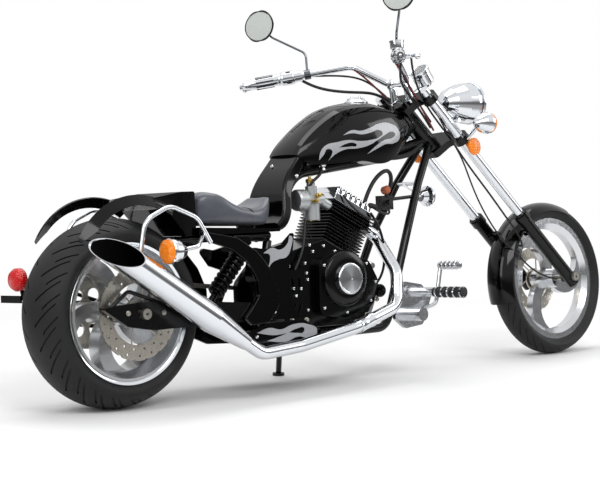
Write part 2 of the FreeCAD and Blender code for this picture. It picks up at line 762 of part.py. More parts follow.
def seat_cowl():
    """Curved plate from the tank's tail down to a ledge under the seat."""
    # centre x, centre z, direction x, direction z, half width, half depth
    rows = [(736, 755, 0.62, 0.785, 70, 22), (690, 697, 0.65, 0.76, 72, 22),
            (661, 660, 0.54, 0.84, 77, 22), (645, 632, 0.32, 0.95, 84, 20),
            (634, 590, 0.14, 0.99, 95, 19), (618, 548, 0.5, 0.86, 103, 18),
            (580, 520, 0.86, 0.5, 108, 14)]
    rings = []
    for x, z, run_x, run_z, wide, deep in rows:
        outline = wire(rounded([(-wide, -deep), (wide, -deep), (wide, deep), (-wide, deep)], 10))
        outline.Placement = FreeCAD.Placement(V(x, 0, z), FreeCAD.Rotation(
            Y, V(-run_z, 0, run_x), V(run_x, 0, run_z), "XYZ"))
        rings.append(outline)
    neck = Part.makeLoft(rings, True, False)
    ledge = side_slab([(262, 530), (262, cowl_floor), (584, cowl_floor), (584, 516), (548, 516)],
                      -108, 108)
    return fuse([neck, ledge]).cut(neck_core(GAP)).cut(beyond(tank_seam, tank_seam_normal))


def seat():
    """Solo saddle: a dished pad with a raised nose and tail, rounded in plan."""
    side = side_slab([(556, 516.7), (582, 552), (596, 600), (598, 640, 600, 622),
                      (540, 592, 564, 604), (470, 586, 506, 585), (380, 624, 426, 598),
                      (330, 641, 356, 637), (262.3, 642, 296, 647), (262.3, 530.4)], -120, 120)
    half = [(602, 30), (560, 88, 590, 68), (500, 110, 532, 102), (400, 119, 450, 117),
            (330, 112, 366, 118), (262, 92, 296, 104)]
    back = [(262, -92), (330, -112, 296, -104), (400, -119, 366, -118), (500, -110, 450, -117),
            (560, -88, 532, -102), (602, -30, 590, -68)]
    plan = Part.Face(wire(half + back)).extrude(Z * 300)
    plan.translate(Z * 450)
    return side.common(plan)


def tail_cowl():
    """Cover behind the seat, widening towards the fins."""
    outline = rounded([(60, 610), (92, 626), (196, 641), (261.9, 641), (261.9, cowl_floor),
                       (212, cowl_floor), (134, 592)], 8)
    plan = Part.Face(wire([(262, -94), (262, 94), (200, 114), (50, 122), (50, -122), (200, -114)]))
    plan = plan.extrude(Z * 300)
    plan.translate(Z * 450)
    return side_slab(outline, -130, 130).common(plan)


def rear_fender():
    """Two crescent fins that sweep back past the tyre's shoulders, and the cover they grow from."""
    centre = V(26, 0, 398)
    crescent = [(170, 540), (170, 720), (-100, 720), (-186, 512), (-177, 503), (-60, 574, -118, 542),
                (40, 590, -10, 588)]
    mask = side_slab(crescent, -200, 200)
    pieces = [tail_cowl()]
    for s in (LEFT, RIGHT):
        blade = [(s * 112, 236), (s * 134, 206), (s * 138.5, 207), (s * 116.5, 239)]
        pieces.append(wheel_turned(blade, centre, 100, 56).common(mask))
    return fuse(pieces)


def rear_caliper():
    """Caliper above the disc, on an arm from the axle."""
    body = caliper_body(rear_axle, rear_disc_radius, 72, rear_disc_y)
    y = 5 + GAP - arm_in
    arm = rod(rear_axle + V(44, y, 110), rear_axle + V(50, y, 22), 5.0)
    return fuse([body, arm])


def rear_shock():
    """Coil-over unit between the swingarm's cross tube and the cross tube of the seat rails."""
    low, high = V(368, 0, 288), V(548, 0, rail_z - 6)
    along = (high - low).normalize()
    body = [(0, 40), (20, 40)]
    for n in range(9):
        coil = 50 + 18 * n
        body += [(20, coil - 5), (20, coil + 5, 28.5, coil)]
    body += [(20, 210), (0, 210)]
    whole = fuse([rod(low, high, 9.0), turned(body, low, along)])
    whole = whole.cut(neck_core(GAP)).cut(rod(cross_at - Y * 60, cross_at + Y * 60, 20.0 + GAP))
    return max(whole.Solids, key=lambda solid: solid.Volume)


# ---------------------------------------------------------------- engine
engine_tilt = 27.0
barrel_foot = V(835, 0, 378)
barrel_up = V(math.sin(math.radians(engine_tilt)), 0, math.cos(math.radians(engine_tilt)))
case_half = 92.0
fin_pitch, fin_thick = 11.0, 4.0
deck_at = 60.0
head_top = 206.0


def on_barrel(shape):
    """Stand a shape made about +Z on the crankcase, leaning forward."""
    shape.Placement = FreeCAD.Placement(barrel_foot, FreeCAD.Rotation(Y, engine_tilt)).multiply(
        shape.Placement)
    return shape


def barrel_point(forward, up, side=0.0):
    """A point measured along the barrel and square to it."""
    square = V(barrel_up.z, 0, -barrel_up.x)
    return barrel_foot + barrel_up * up + square * forward + Y * side


def crankcase():
    """Case with a slanted deck for the barrel and feet between the floor rails."""
    front, rear = barrel_point(88, deck_at), barrel_point(-88, deck_at)
    outline = rounded([(606, 192, 30), (930, 188, 40), (986, 250, 40), (982, 362, 40),
                       (front.x, front.z, 8), (rear.x, rear.z, 8), (690, 452, 40), (604, 430, 40),
                       (584, 340, 40)], 20)
    case = side_slab(outline, -case_half, case_half)
    foot_y = cradle_half_span - cradle_tube_radius - GAP
    feet = [block((x, -foot_y, cradle_floor - 4), (x + 40, foot_y, 200)) for x in (630, 880)]
    return fuse([case] + feet)


def side_cover(s, centre_x, centre_z, radius, depth, outline):
    """Engine side cover: a flange that follows the case, then a stepped drum."""
    lo, hi = sorted((s * (case_half + GAP), s * (case_half + 24)))
    flange = side_slab(rounded(outline, 40), lo, hi)
    drum = turned([(0, 0), (radius, 0), (radius, depth * 0.5), (radius - 10, depth * 0.84,
                   radius - 2, depth * 0.74), (radius - 34, depth), (0, depth)],
                  V(centre_x, s * (case_half + GAP), centre_z), Y * s)
    return fuse([flange, drum])


clutch_x, clutch_z = 839.0, 340.0
clutch_depth = 46.0


def clutch_cover():
    return side_cover(RIGHT, clutch_x, clutch_z, 92.0, clutch_depth, [
        (728, 228), (734, 404), (800, 428), (950, 396), (992, 322), (962, 246), (843, 212)])


def clutch_cap():
    return turned([(0, 0), (52, 0), (52, 6), (44, 12, 50, 11), (0, 16)],
                  V(clutch_x, -case_half - clutch_depth - 2 * GAP, clutch_z), -Y)


def generator_cover():
    return side_cover(LEFT, 830, 330, 88.0, 52.0, [(560, 236), (560, 340), (640, 420), (930, 420),
                                                  (972, 300), (940, 214), (640, 206)])


def cylinder():
    """Air-cooled barrel and head with cooling fins."""
    pieces = [Part.makeCylinder(54, 128, V(0, 0, deck_at + GAP))]
    pieces.append(block((-66, -58, 150), (66, 58, head_top)))
    for n in range(9):
        z = 64 + fin_pitch * n
        pieces.append(block((-84, -76, z), (84, 76, z + fin_thick)))
    for n in range(4):
        z = 64 + fin_pitch * (9 + n)
        pieces.append(block((-94, -84, z), (94, 84, z + fin_thick)))
    return on_barrel(fuse(pieces))


def rocker_cover():
    pieces = [block((-88, -72, head_top + GAP), (88, 72, 230)), block((-80, -62, 230), (80, 62, 250))]
    for n in range(7):
        x = -72 + 24 * n
        pieces.append(block((x - 4, -68, 230), (x + 4, 68, 256)))
    return on_barrel(fuse(pieces))


carb_y = -62.0


def carburettor():
    """Body, float bowl and slide top behind the head, between its stub and its air filter."""
    port, stub = barrel_point(-94 - GAP, 178, carb_y), barrel_point(-140, 178, carb_y)
    middle = V(stub.x - 32, carb_y, stub.z)
    filter_at = stub - X * 66
    pieces = [rod(port, stub, 17.0), rod(stub + X * 12, filter_at, 20.0),
              rod(middle - Z * 66, middle - Z * 14, 26.0), rod(middle, middle + Z * 44, 19.0),
              rod(middle + Z * 40, middle + Z * 56, 14.0),
              turned([(0, 0), (33, 0), (35, 6), (35, 34), (31, 40), (0, 40)], filter_at + X * 4, -X)]
    return fuse(pieces)


def ignition_coil():
    """Coil on a stay from the right down tube."""
    core = [block((1096, -34, 556), (1150, -4, 604)), rod(V(1123, -30, 580), V(1123, -52, 580), 10)]
    stay = rod(V(1140, -20, 590), V(1232, -62, 598), 6.0)
    return fuse(core + [stay.cut(cradle(RIGHT, GAP))]).Solids[0]


def horn():
    mouth = V(1352, 0, 596)
    trumpet = turned([(0, 0), (34, 0), (36, 6), (36, 12), (24, 20), (18, 40), (0, 40)], mouth, -X)
    post = rod(V(1318, 0, 596), V(1236, 0, 640), 6.0)
    cross = rod(V(1250, -52, 640), V(1250, 52, 640), 7.0)
    cross = cross.cut(cradle(RIGHT, GAP)).cut(cradle(LEFT, GAP))
    return fuse([trumpet, post, cross])


# ---------------------------------------------------------------- exhaust
muffler_foot = V(330, -230, 176)
muffler_run = V(-0.84, 0, 0.5426).normalize()
muffler_cut_at = 544.0
cone_length = 150.0


def exhaust_pipe():
    points = [barrel_point(94 + GAP, 180, -45), barrel_point(150, 180, -45), V(1044, -146, 350),
              V(1012, -176, 240), V(800, -200, 184), V(560, -214, 148), muffler_foot - muffler_run * 70,
              muffler_foot]
    return bent_tube(points, [28, 80, 70, 120, 160, 70], pipe_radius)


def muffler():
    """Straight can with a cone at the pipe and a long slash cut that faces outward."""
    start = muffler_foot + muffler_run * GAP
    length = muffler_cut_at + 90
    wall = pipe_wall
    profile = [(0, 0), (pipe_radius + 3, 0), (muffler_radius, cone_length), (muffler_radius, length),
               (muffler_radius - wall, length), (muffler_radius - wall, length - 260), (0, length - 260)]
    can = turned(profile, start, muffler_run)
    lift = V(-muffler_run.z, 0, muffler_run.x) * -1
    outward = Y * -math.cos(math.radians(20)) + lift * math.sin(math.radians(20))
    normal = muffler_run * math.cos(math.radians(60)) + outward * math.sin(math.radians(60))
    tool = Part.makeBox(400, 400, 400, V(-200, -200, 0))
    tool.Placement = FreeCAD.Placement(start + muffler_run * muffler_cut_at, FreeCAD.Rotation(Z, normal))
    hanger_x = 200.0
    on_can = muffler_foot + muffler_run * ((muffler_foot.x - hanger_x) / -muffler_run.x)
    hanger = rod(V(on_can.x, -arm_out - GAP, on_can.z), on_can + Y * (muffler_radius - 4), 8.0)
    return fuse([can.cut(tool), hanger])


# ---------------------------------------------------------------- panels
panel_in, panel_out = 176.0, 190.0


def side_panel(s):
    """Open scoop panel that curls round in front of the rear wheel."""
    outline = rounded([(195, 522, 4), (347, 494, 60), (423, 447, 60), (468, 395, 60), (500, 325, 30),
                       (501, 278, 24), (458, 228, 20), (390, 224, 6), (364, 247, 4), (393, 276, 20),
                       (423, 314, 20), (418, 361, 40), (382, 418, 40), (325, 458, 40), (250, 483, 4)], 8)
    lo, hi = sorted((s * panel_in, s * panel_out))
    band = side_slab(outline, lo, hi)
    lo, hi = sorted((s * (rail_y + rail_radius + GAP), s * panel_in))
    tongue = side_slab(rounded([(340, 488), (400, 466), (412, 474), (404, 498), (344, 500)], 4), lo, hi)
    return fuse([band, tongue])


def mid_panel(s):
    """Smooth cover between the scoop and the engine; the left one stops above the chain."""
    if s == RIGHT:
        outline = [(430, 464), (498, 451, 20), (566, 466, 20), (616, 506, 6), (607, 444), (590, 389),
                   (588, 319), (600, 262), (640, 226, 6), (508, 232, 6), (504, 325), (472, 400)]
    else:
        outline = [(430, 464), (498, 451, 20), (566, 466, 20), (616, 506, 6), (607, 444), (590, 389),
                   (560, 374), (480, 400)]
    lo, hi = sorted((s * 128, s * 138))
    stay = rod(V(546, s * 76, 436), V(546, s * 130, 436), 8.0).cut(cradle(s, GAP))
    solid = fuse([side_slab(rounded(outline, 12), lo, hi), stay])
    return max(solid.Solids, key=lambda piece: piece.Volume)


def belly_panel(s):
    outline = rounded([(400, 200), (470, 222), (622, 226), (700, 184), (668, 139), (470, 150), (400, 180)],
                      10)
    lo, hi = sorted((s * 146, s * 156))
    rail_face = cradle_half_span + cradle_tube_radius + GAP
    bosses = [rod(V(x, s * rail_face, cradle_floor), V(x, s * 150, cradle_floor), 7.0)
              for x in (540, 650)]
    return fuse([side_slab(outline, lo, hi)] + bosses)


def rear_signals():
    def one(s):
        at = rear_signal_at[s]
        stalk = bent_tube([at + V(30, 0, 0), at + V(110, 0, 10), V(216, s * 186, 506)], [30], 6.0)
        lo, hi = sorted((s * 150, s * (panel_out + GAP)))
        solid = fuse([signal_body(at, -X, signal_radius, 66), stalk, fender_hoop(s)])
        return solid.cut(block((100, lo, 400), (300, hi, 560)))
    return both(one)


def rear_lenses():
    return both(lambda s: signal_lens(rear_signal_at[s], -X, signal_radius))


def fender_hoop(s):
    """Chrome hoop that carries the rear signal and props the fender."""
    y = s * (panel_out + GAP + 7)
    return bent_tube([V(-22, y, 470), V(-2, y, 560), V(90, y, 600), V(190, y, 560), V(236, y, 484)],
                     [60, 60, 60], 7.0)


def tail_lamp():
    """Round lamp and bare plate holder on an arm from the left end of the swingarm."""
    at = V(-196, 176, 398)
    lamp = turned([(0, 0), (32, 0), (35, 4), (35, 22), (26, 34), (0, 38)], at, -X)
    y = arm_out + 7 + GAP
    arm = bent_tube([V(-110, y, 312), V(-190, y, 340), at + V(-2, y - at.y, -20)], [20], 7.0)
    bracket = block((-236, 126, 330), (-230, 236, 352))
    tie = rod(V(-190, 179, 341), V(-231, 179, 341), 6.0)
    return fuse([lamp, arm, tie, bracket])


# ---------------------------------------------------------------- foot controls and stand
def control_bracket(s):
    """Cast plate on the down tube that carries the peg and the pedal."""
    outline = rounded([(1034, 196), (1080, 160), (1160, 168), (1206, 262), (1160, 302), (1084, 316),
                       (1046, 280)], 14)
    lo, hi = sorted((s * 128, s * 142))
    plate = side_slab(outline, lo, hi)
    boss = rod(V(1168, s * 140, 276), V(1168, s * 196, 276), 16.0)
    drum = rod(V(1108, s * 142, 206), V(1108, s * 200, 206), 22.0)
    foot = rod(V(1049, s * 110, 236), V(1049, s * 130, 236), 16.0).cut(cradle(s, GAP))
    return max(fuse([plate, boss, drum, foot]).Solids, key=lambda solid: solid.Volume)


def foot_control(s):
    return fuse([control_bracket(s), pedal(s)])


def footpeg(s):
    start = V(1168, s * (196 + GAP), 276)
    profile = [(0, 0), (12, 0), (12, 8)]
    for n in range(5):
        h = 12 + 24 * n
        profile += [(16, h), (18, h + 4), (18, h + 16), (14, h + 20)]
    profile += [(14, 134), (0, 136)]
    return turned(profile, start, Y * s)


def pedal(s):
    """Cranked arm with a ribbed toe piece."""
    arm = bent_tube([V(1112, s * 170, 214), V(1196, s * 172, 236), V(1224, s * 172, 358)], [24], 7.0)
    toe_start = V(1226, s * 164, 362)
    profile = [(0, 0), (10, 0), (10, 6)]
    for n in range(4):
        h = 10 + 20 * n
        profile += [(13, h), (15, h + 4), (15, h + 12), (12, h + 16)]
    profile += [(12, 96), (0, 98)]
    toe = turned(profile, toe_start, Y * s)
    return fuse([arm, toe])


stand_pivot = V(760, 130, 138)
stand_axis = V(0, 0.832, 0.555).normalize()
stand_leg = V(0.35, 0.52, -0.78)
stand_pin_radius = 6.0
stand_foot_radius = 20.0


def stand_bracket():
    """Lug on the left floor rail, with the pin that the stand turns on."""
    lug = rod(stand_pivot - stand_axis * 14, stand_pivot - stand_axis * 6.3, 18.0)
    pin = rod(stand_pivot - stand_axis * 10, stand_pivot + stand_axis * 10, stand_pin_radius)
    head = rod(stand_pivot + stand_axis * 6.3, stand_pivot + stand_axis * 11, 11.0)
    plate = block((-13, 0, -14), (13, 30, -6.3))
    across = V(0, -stand_axis.z, stand_axis.y)
    plate.Placement = FreeCAD.Placement(stand_pivot, FreeCAD.Rotation(-X, across, stand_axis, "ZYX"))
    return fuse([lug, pin, head, plate])


def side_stand(parking):
    """Leg with a flat foot that lies on the ground when the machine leans on it."""
    inverse = parking.inverse()
    ground_up = inverse.Rotation.multVec(Z)
    high = parking.multVec(stand_pivot)
    fall = parking.Rotation.multVec(stand_leg)
    foot = inverse.multVec(high - fall * ((high.z - 4.0) / fall.z))
    eye = rod(stand_pivot - stand_axis * 6, stand_pivot + stand_axis * 6, 16.0)
    strap = block((0, -13, -6), (36, 13, 6))
    across = stand_axis.cross(stand_leg)
    strap.Placement = FreeCAD.Placement(stand_pivot, FreeCAD.Rotation(stand_leg, across, stand_axis, "ZXY"))
    leg = rod(stand_pivot + stand_leg * 30, foot, 9.5)
    sole = rod(foot - ground_up * 4, foot + ground_up * 5, stand_foot_radius)
    solid = fuse([eye, strap, leg, sole])
    below = Part.makeBox(400, 400, 60, V(-200, -200, -60))
    below.Placement = FreeCAD.Placement(foot - ground_up * 4, parking.inverse().Rotation)
    solid = solid.cut(below)
    return solid.cut(rod(stand_pivot - stand_axis * 7, stand_pivot + stand_axis * 7,
                         stand_pin_radius + running_fit))


# ---------------------------------------------------------------- drive chain
def belt_outline(grow):
    """Outline of a belt round both sprockets, set out by grow from the pitch line."""
    big = chain_pitch / (2 * math.sin(math.pi / rear_teeth)) + grow
    small = chain_pitch / (2 * math.sin(math.pi / front_teeth)) + grow
    span = drive_x
    rise = drive_z - rear_axle.z
    length = math.hypot(span, rise)
    lean = math.degrees(math.acos((big - small) / length))
    tilt = math.degrees(math.atan2(rise, span))

    def at(centre_x, centre_z, radius, degrees):
        dx, dz = polar(radius, degrees + tilt)
        return (centre_x + dx, centre_z + dz)
    top_rear, low_rear = at(0, rear_axle.z, big, lean), at(0, rear_axle.z, big, -lean)
    top_front, low_front = (at(span, drive_z, small, lean), at(span, drive_z, small, -lean))
    back = at(0, rear_axle.z, big, 180)
    nose = at(span, drive_z, small, 0)
    return [top_rear + tuple(), top_front, low_front + nose, low_rear, top_rear + back]


def belt(grow, y_low, y_high):
    points = belt_outline(grow)
    return side_slab([points[0] + points[4][2:], points[1], points[2], points[3]], y_low, y_high)


def drive_chain():
    """Side plates on rollers; the rear sprocket's teeth pass between the plates."""
    sides = []
    for lo, hi in ((-7.5, -4.0), (4.0, 7.5)):
        sides.append(belt(7.0, sprocket_y + lo, sprocket_y + hi).cut(
            belt(-7.0, sprocket_y + lo - 1, sprocket_y + hi + 1)))
    points = belt_outline(0.0)
    runs = [(points[0], points[1]), (points[3], points[2])]
    for start, end in runs:
        count = int(math.hypot(end[0] - start[0], end[1] - start[1]) / chain_pitch) - 1
        for n in range(1, count, 2):
            share = (n + 0.5) / count
            x = start[0] + (end[0] - start[0]) * share
            z = start[1] + (end[1] - start[1]) * share
            if x > 30:
                sides.append(rod(V(x, sprocket_y - 6, z), V(x, sprocket_y + 6, z), roller_radius))
    return fuse(sides)


# ---------------------------------------------------------------- assembly
def lowest(placement, axle, radius, crown):
    """Height of the lowest point of a tyre after a placement."""
    tilt = placement.Rotation.multVec(Y).z
    return placement.multVec(axle).z - (radius - crown) * math.sqrt(1 - tilt ** 2) - crown


def parking_placement(turn):
    """Lean to the left, then lift and pitch until both tyres touch the ground."""
    lift, pitch = 0.0, 0.0
    for _ in range(6):
        placement = FreeCAD.Placement(V(0, 0, lift), FreeCAD.Rotation(X, -parked_lean)).multiply(
            FreeCAD.Placement(V(), FreeCAD.Rotation(Y, pitch)))
        rear = lowest(placement, rear_axle, rear_tyre_radius, rear_crown_radius)
        front = lowest(placement.multiply(turn), front_axle, front_tyre_radius, front_crown_radius)
        lift -= rear
        pitch += math.degrees((front - rear) / wheelbase)
    return placement


def steering_turn():
    away = FreeCAD.Placement(on_axis(0) * -1, FreeCAD.Rotation())
    back = FreeCAD.Placement(on_axis(0), FreeCAD.Rotation(up_fork, parked_steer))
    return back.multiply(away)


def pieces(parking):
    """Every piece as body, name and shape, drawn upright."""
    yield "chassis", "frame_neck", frame_neck()
    yield "chassis", "frame_cradles", frame_cradles()
    yield "chassis", "swingarm", swingarm()
    yield "chassis", "swingarm_cross", swingarm_cross()
    yield "chassis", "rear_axle", rear_axle_pin()
    yield "chassis", "rear_caliper", rear_caliper()
    yield "chassis", "rear_shock", rear_shock()
    yield "chassis", "fuel_tank", tank()
    yield "chassis", "tank_cap", tank_cap()
    yield "chassis", "seat_cowl", seat_cowl()
    yield "chassis", "seat", seat()
    yield "chassis", "rear_fender", rear_fender()
    yield "chassis", "side_panels", both(side_panel)
    yield "chassis", "mid_panels", both(mid_panel)
    yield "chassis", "belly_panels", both(belly_panel)
    yield "chassis", "crankcase", crankcase()
    yield "chassis", "clutch_cover", clutch_cover()
    yield "chassis", "clutch_cap", clutch_cap()
    yield "chassis", "generator_cover", generator_cover()
    yield "chassis", "cylinder", cylinder()
    yield "chassis", "rocker_cover", rocker_cover()
    yield "chassis", "carburettor", carburettor()
    yield "chassis", "ignition_coil", ignition_coil()
    yield "chassis", "horn", horn()
    yield "chassis", "exhaust_pipe", exhaust_pipe()
    yield "chassis", "muffler", muffler()
    yield "chassis", "drive_chain", drive_chain()
    yield "chassis", "foot_controls", both(foot_control)
    yield "chassis", "footpegs", both(footpeg)
    yield "chassis", "rear_signals", rear_signals()
    yield "chassis", "rear_lenses", rear_lenses()
    yield "chassis", "tail_lamp", tail_lamp()
    yield "steering", "fork_stanchions", stanchions()
    yield "steering", "fork_sliders", sliders()
    yield "steering", "front_axle", front_axle_pin()
    yield "steering", "lower_yoke", lower_yoke()
    yield "steering", "upper_yoke", yoke(upper_clamp_at, upper_reach)
    yield "steering", "handlebar", handlebar()
    yield "steering", "grips", grips()
    yield "steering", "bar_controls", both(bar_control)
    yield "steering", "mirrors", mirrors()
    yield "steering", "headlamp", lamp_unit()
    yield "steering", "front_signals", front_signals()
    yield "steering", "front_lenses", front_lenses()
    yield "steering", "speedometer", speedometer()
    yield "steering", "front_fender", front_fender()
    yield "steering", "front_caliper", front_caliper()
    for name, shape in rear_wheel_pieces().items():
        yield "rear_wheel", name, shape
    for name, shape in front_wheel_pieces().items():
        yield "front_wheel", name, shape
    yield "side_stand", "side_stand", side_stand(parking)


def main():
    os.makedirs("parts", exist_ok=True)
    turn = steering_turn()
    parking = parking_placement(turn)
    placed = {}
    for body, name, shape in pieces(parking):
        placement = parking.multiply(turn) if body in ("steering", "front_wheel") else parking
        shape.Placement = placement.multiply(shape.Placement)
        placed[name] = (body, shape)
    whole = Part.makeCompound([shape for body, shape in placed.values()])
    box = whole.optimalBoundingBox(False, False)
    centre = FreeCAD.Placement(V(-box.Center.x, -box.Center.y, 0), FreeCAD.Rotation())
    for name, (body, shape) in placed.items():
        shape.Placement = centre.multiply(shape.Placement)
        shape.exportStep("parts/" + name + ".step")
    report(placed, centre.multiply(parking), centre.multiply(parking).multiply(turn), box)


def report(placed, parking, steered, box):
    """Print the joint axes and the size, in metres."""
    print("size", [round(v / 1000, 4) for v in (box.XLength, box.YLength, box.ZLength)])
    print("low", round(box.ZMin, 3), "nodes", len(placed))
    rows = [("steering", steered, on_axis((lower_clamp_at + upper_clamp_at) / 2), up_fork),
            ("rear_wheel", parking, rear_axle, Y), ("front_wheel", steered, front_axle, Y),
            ("side_stand", parking, stand_pivot, stand_axis),
            ("rear_axle_end", parking, rear_axle - Y * rear_axle_half, -Y),
            ("front_axle_end", steered, front_axle - Y * front_axle_half, -Y)]
    for name, placement, point, axis in rows:
        p = placement.multVec(point)
        a = placement.Rotation.multVec(axis)
        print("axis", name, [round(v / 1000, 6) for v in p], [round(v, 6) for v in a])
    volume = sum(shape.Volume for body, shape in placed.values())
    print("volume_m3", round(volume / 1e9, 5))


main()
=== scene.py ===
"""Finishes, upholstery and trim for a chopper motorcycle that leans on its side stand."""

import json
import math

import bmesh
import bpy
from mathutils import Matrix, Vector

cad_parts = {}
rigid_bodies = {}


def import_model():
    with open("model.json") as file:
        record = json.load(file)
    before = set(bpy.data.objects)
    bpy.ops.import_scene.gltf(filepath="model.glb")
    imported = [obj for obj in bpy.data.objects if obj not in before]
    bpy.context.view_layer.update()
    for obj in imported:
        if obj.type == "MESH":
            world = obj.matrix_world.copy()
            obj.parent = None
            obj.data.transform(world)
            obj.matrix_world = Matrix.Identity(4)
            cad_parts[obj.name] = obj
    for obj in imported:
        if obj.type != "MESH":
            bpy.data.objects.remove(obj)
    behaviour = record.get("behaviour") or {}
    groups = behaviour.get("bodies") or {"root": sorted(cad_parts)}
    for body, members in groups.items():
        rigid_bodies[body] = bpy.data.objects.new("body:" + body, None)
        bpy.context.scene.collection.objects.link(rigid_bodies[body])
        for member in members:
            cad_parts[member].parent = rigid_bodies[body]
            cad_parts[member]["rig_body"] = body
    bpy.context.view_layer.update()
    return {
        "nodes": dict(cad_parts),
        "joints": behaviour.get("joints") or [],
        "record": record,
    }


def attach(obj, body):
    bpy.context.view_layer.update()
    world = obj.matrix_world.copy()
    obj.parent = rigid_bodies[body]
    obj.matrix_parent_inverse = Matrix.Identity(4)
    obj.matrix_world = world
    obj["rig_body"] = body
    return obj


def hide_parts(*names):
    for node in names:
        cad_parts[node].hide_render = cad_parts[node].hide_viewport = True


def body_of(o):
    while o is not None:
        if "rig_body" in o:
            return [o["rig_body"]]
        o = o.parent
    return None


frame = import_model()

bl_info = {
    "name": "Chopper Finishes",
    "version": (1, 0, 0),
    "blender": (4, 5, 0),
    "location": "View3D > Sidebar > Chopper",
    "description": "Paint, upholstery, tread, flames and trim of a chopper motorcycle",
    "category": "Object",
}

MM = 0.001
RIGHT, LEFT = -1, 1
SIDES = ((RIGHT, "right"), (LEFT, "left"))


# ---------------- places
def joint(name):
    return next(j for j in frame["joints"] if j["name"] == name)


def frame_of(first, second):
    """Right-handed rotation with Y along first and X as near to second as it gets."""
    y = Vector(first).normalized()
    x = (Vector(second) - y * Vector(second).dot(y)).normalized()
    return Matrix((x, y, x.cross(y))).transposed()


# in mm ahead of the rear axle, left and up, with the machine upright and its fork straight ahead
REAR_AXLE = Vector((0, 0, 286))
FRONT_AXLE = Vector((1945, 0, 274))
STAND_PIVOT = Vector((760, 130, 138))
HEAD_LAMP = Vector((1596, 0, 920))
TAIL_LENS, TAIL_LENS_RADIUS = Vector((-196, 176, 398)), 36
DIAL_FACE = Vector((-0.62, 0, 0.78)).normalized()
DIAL = Vector((1362, 0, 1008)) + DIAL_FACE * 28
MIRROR, MIRROR_HEIGHT = Vector((914.6, 332, 1226)), 0.72
BAR_BEND = Vector((1120, 104, 1058))
BAR_END = Vector((846, 381, 1020))
SILENCER_START = Vector((330, -230, 176))
SILENCER_RUN = Vector((-0.84, 0, 0.5426)).normalized()
# from the middle out to flat faces: engine covers, crankcase, swingarm's pivot and arms, neck, belly
COVER_FACE, CASE_FACE, PIVOT_FACE, ARM_FACE, NECK_FACE, BELLY_FACE = 116.3, 92.2, 175.4, 172, 73.2, 155.8
STEERED_REST = math.radians(4.5)


def parked():
    """Takes the upright machine's millimetres to metres, with the machine leaning on its stand."""
    wheel, stand = joint("rear_wheel_spin"), joint("side_stand_fold")
    lean = (frame_of(wheel["axis"], Vector(stand["pos_m"]) - Vector(wheel["pos_m"]))
            @ frame_of((0, 1, 0), STAND_PIVOT - REAR_AXLE).transposed())
    return (Matrix.Translation(wheel["pos_m"]) @ lean.to_4x4() @ Matrix.Scale(MM, 4)
            @ Matrix.Translation(-REAR_AXLE))


def steered():
    """As parked, for what turns with the fork."""
    steering = joint("steering_turn")
    head = Vector(steering["pos_m"])
    return (Matrix.Translation(head) @ Matrix.Rotation(STEERED_REST, 4, Vector(steering["axis"]))
            @ Matrix.Translation(-head) @ PARKED)


PARKED = parked()
# what takes millimetres to each body's place
HOME = {"chassis": PARKED, "rear_wheel": PARKED, "steering": steered(), "front_wheel": steered()}


def on_side(at, side):
    """A place on the left, carried over to one of the sides."""
    return Vector((at.x, side * at.y, at.z))


def turned_by(degrees, axis="Z"):
    return Matrix.Rotation(math.radians(degrees), 4, axis)


# ---------------- materials
def linear(code):
    """sRGB hex to the linear colour that the shaders read."""
    rgb = [int(code[i:i + 2], 16) / 255 for i in (1, 3, 5)]
    return tuple(c / 12.92 if c <= 0.04045 else ((c + 0.055) / 1.055) ** 2.4 for c in rgb) + (1.0,)


def add(material, kind, inputs=None, **settings):
    """Adds one node; an input is a value or another node's output socket."""
    made = material.node_tree.nodes.new(kind)
    for name, value in settings.items():
        setattr(made, name, value)
    for name, value in (inputs or {}).items():
        socket = made.inputs[name]
        if isinstance(value, bpy.types.NodeSocket):
            material.node_tree.links.new(value, socket)
        else:
            socket.default_value = value
    return made


def stops(ramp, *rows):
    """Sets a colour ramp's stops from (place, colour) rows."""
    band = ramp.color_ramp
    while len(band.elements) < len(rows):
        band.elements.new(0.5)
    for element, (place, colour) in zip(band.elements, rows):
        element.position = place
        element.color = colour
    return ramp


def grey(value):
    return (value, value, value, 1.0)


def surface(name, colour, metallic=0.0, rough=0.5, grain=None, bump=0.0, spread=0.05, mottle=0.0,
            **shader):
    """A principled material whose roughness, tone and bump vary with a grain of a size in mm.
    Its colour is an sRGB hex value, or the colour of a property, which is linear already."""
    material = bpy.data.materials.new(name)
    material.use_nodes = True
    tree = material.node_tree
    base = tree.nodes["Principled BSDF"]
    colour = linear(colour) if isinstance(colour, str) else (*colour, 1.0)
    base.inputs["Base Color"].default_value = colour
    base.inputs["Metallic"].default_value = metallic
    base.inputs["Roughness"].default_value = rough
    for key, value in shader.items():
        base.inputs[key.replace("_", " ").title().replace("Ior", "IOR")].default_value = value
    if grain is None:
        return material
    place = add(material, "ShaderNodeTexCoord")
    noise = add(material, "ShaderNodeTexNoise", {"Vector": place.outputs["Object"],
                "Scale": 1 / (grain * MM), "Detail": 5.0, "Roughness": 0.6})
    band = stops(add(material, "ShaderNodeValToRGB", {"Fac": noise.outputs["Fac"]}),
                 (0.3, grey(max(rough - spread, 0.01))), (0.7, grey(rough + spread)))
    tree.links.new(band.outputs["Color"], base.inputs["Roughness"])
    if mottle:
        low, high = (tuple(min(c * k, 1) for c in colour[:3]) + (1.0,)
                     for k in (1 - mottle, 1 + mottle))
        tone = stops(add(material, "ShaderNodeValToRGB", {"Fac": noise.outputs["Fac"]}),
                     (0.35, low), (0.65, high))
        tree.links.new(tone.outputs["Color"], base.inputs["Base Color"])
    if bump:
        raised = add(material, "ShaderNodeBump", {"Height": noise.outputs["Fac"], "Strength": 0.5,
                     "Distance": bump * MM})
        tree.links.new(raised.outputs["Normal"], base.inputs["Normal"])
    return material


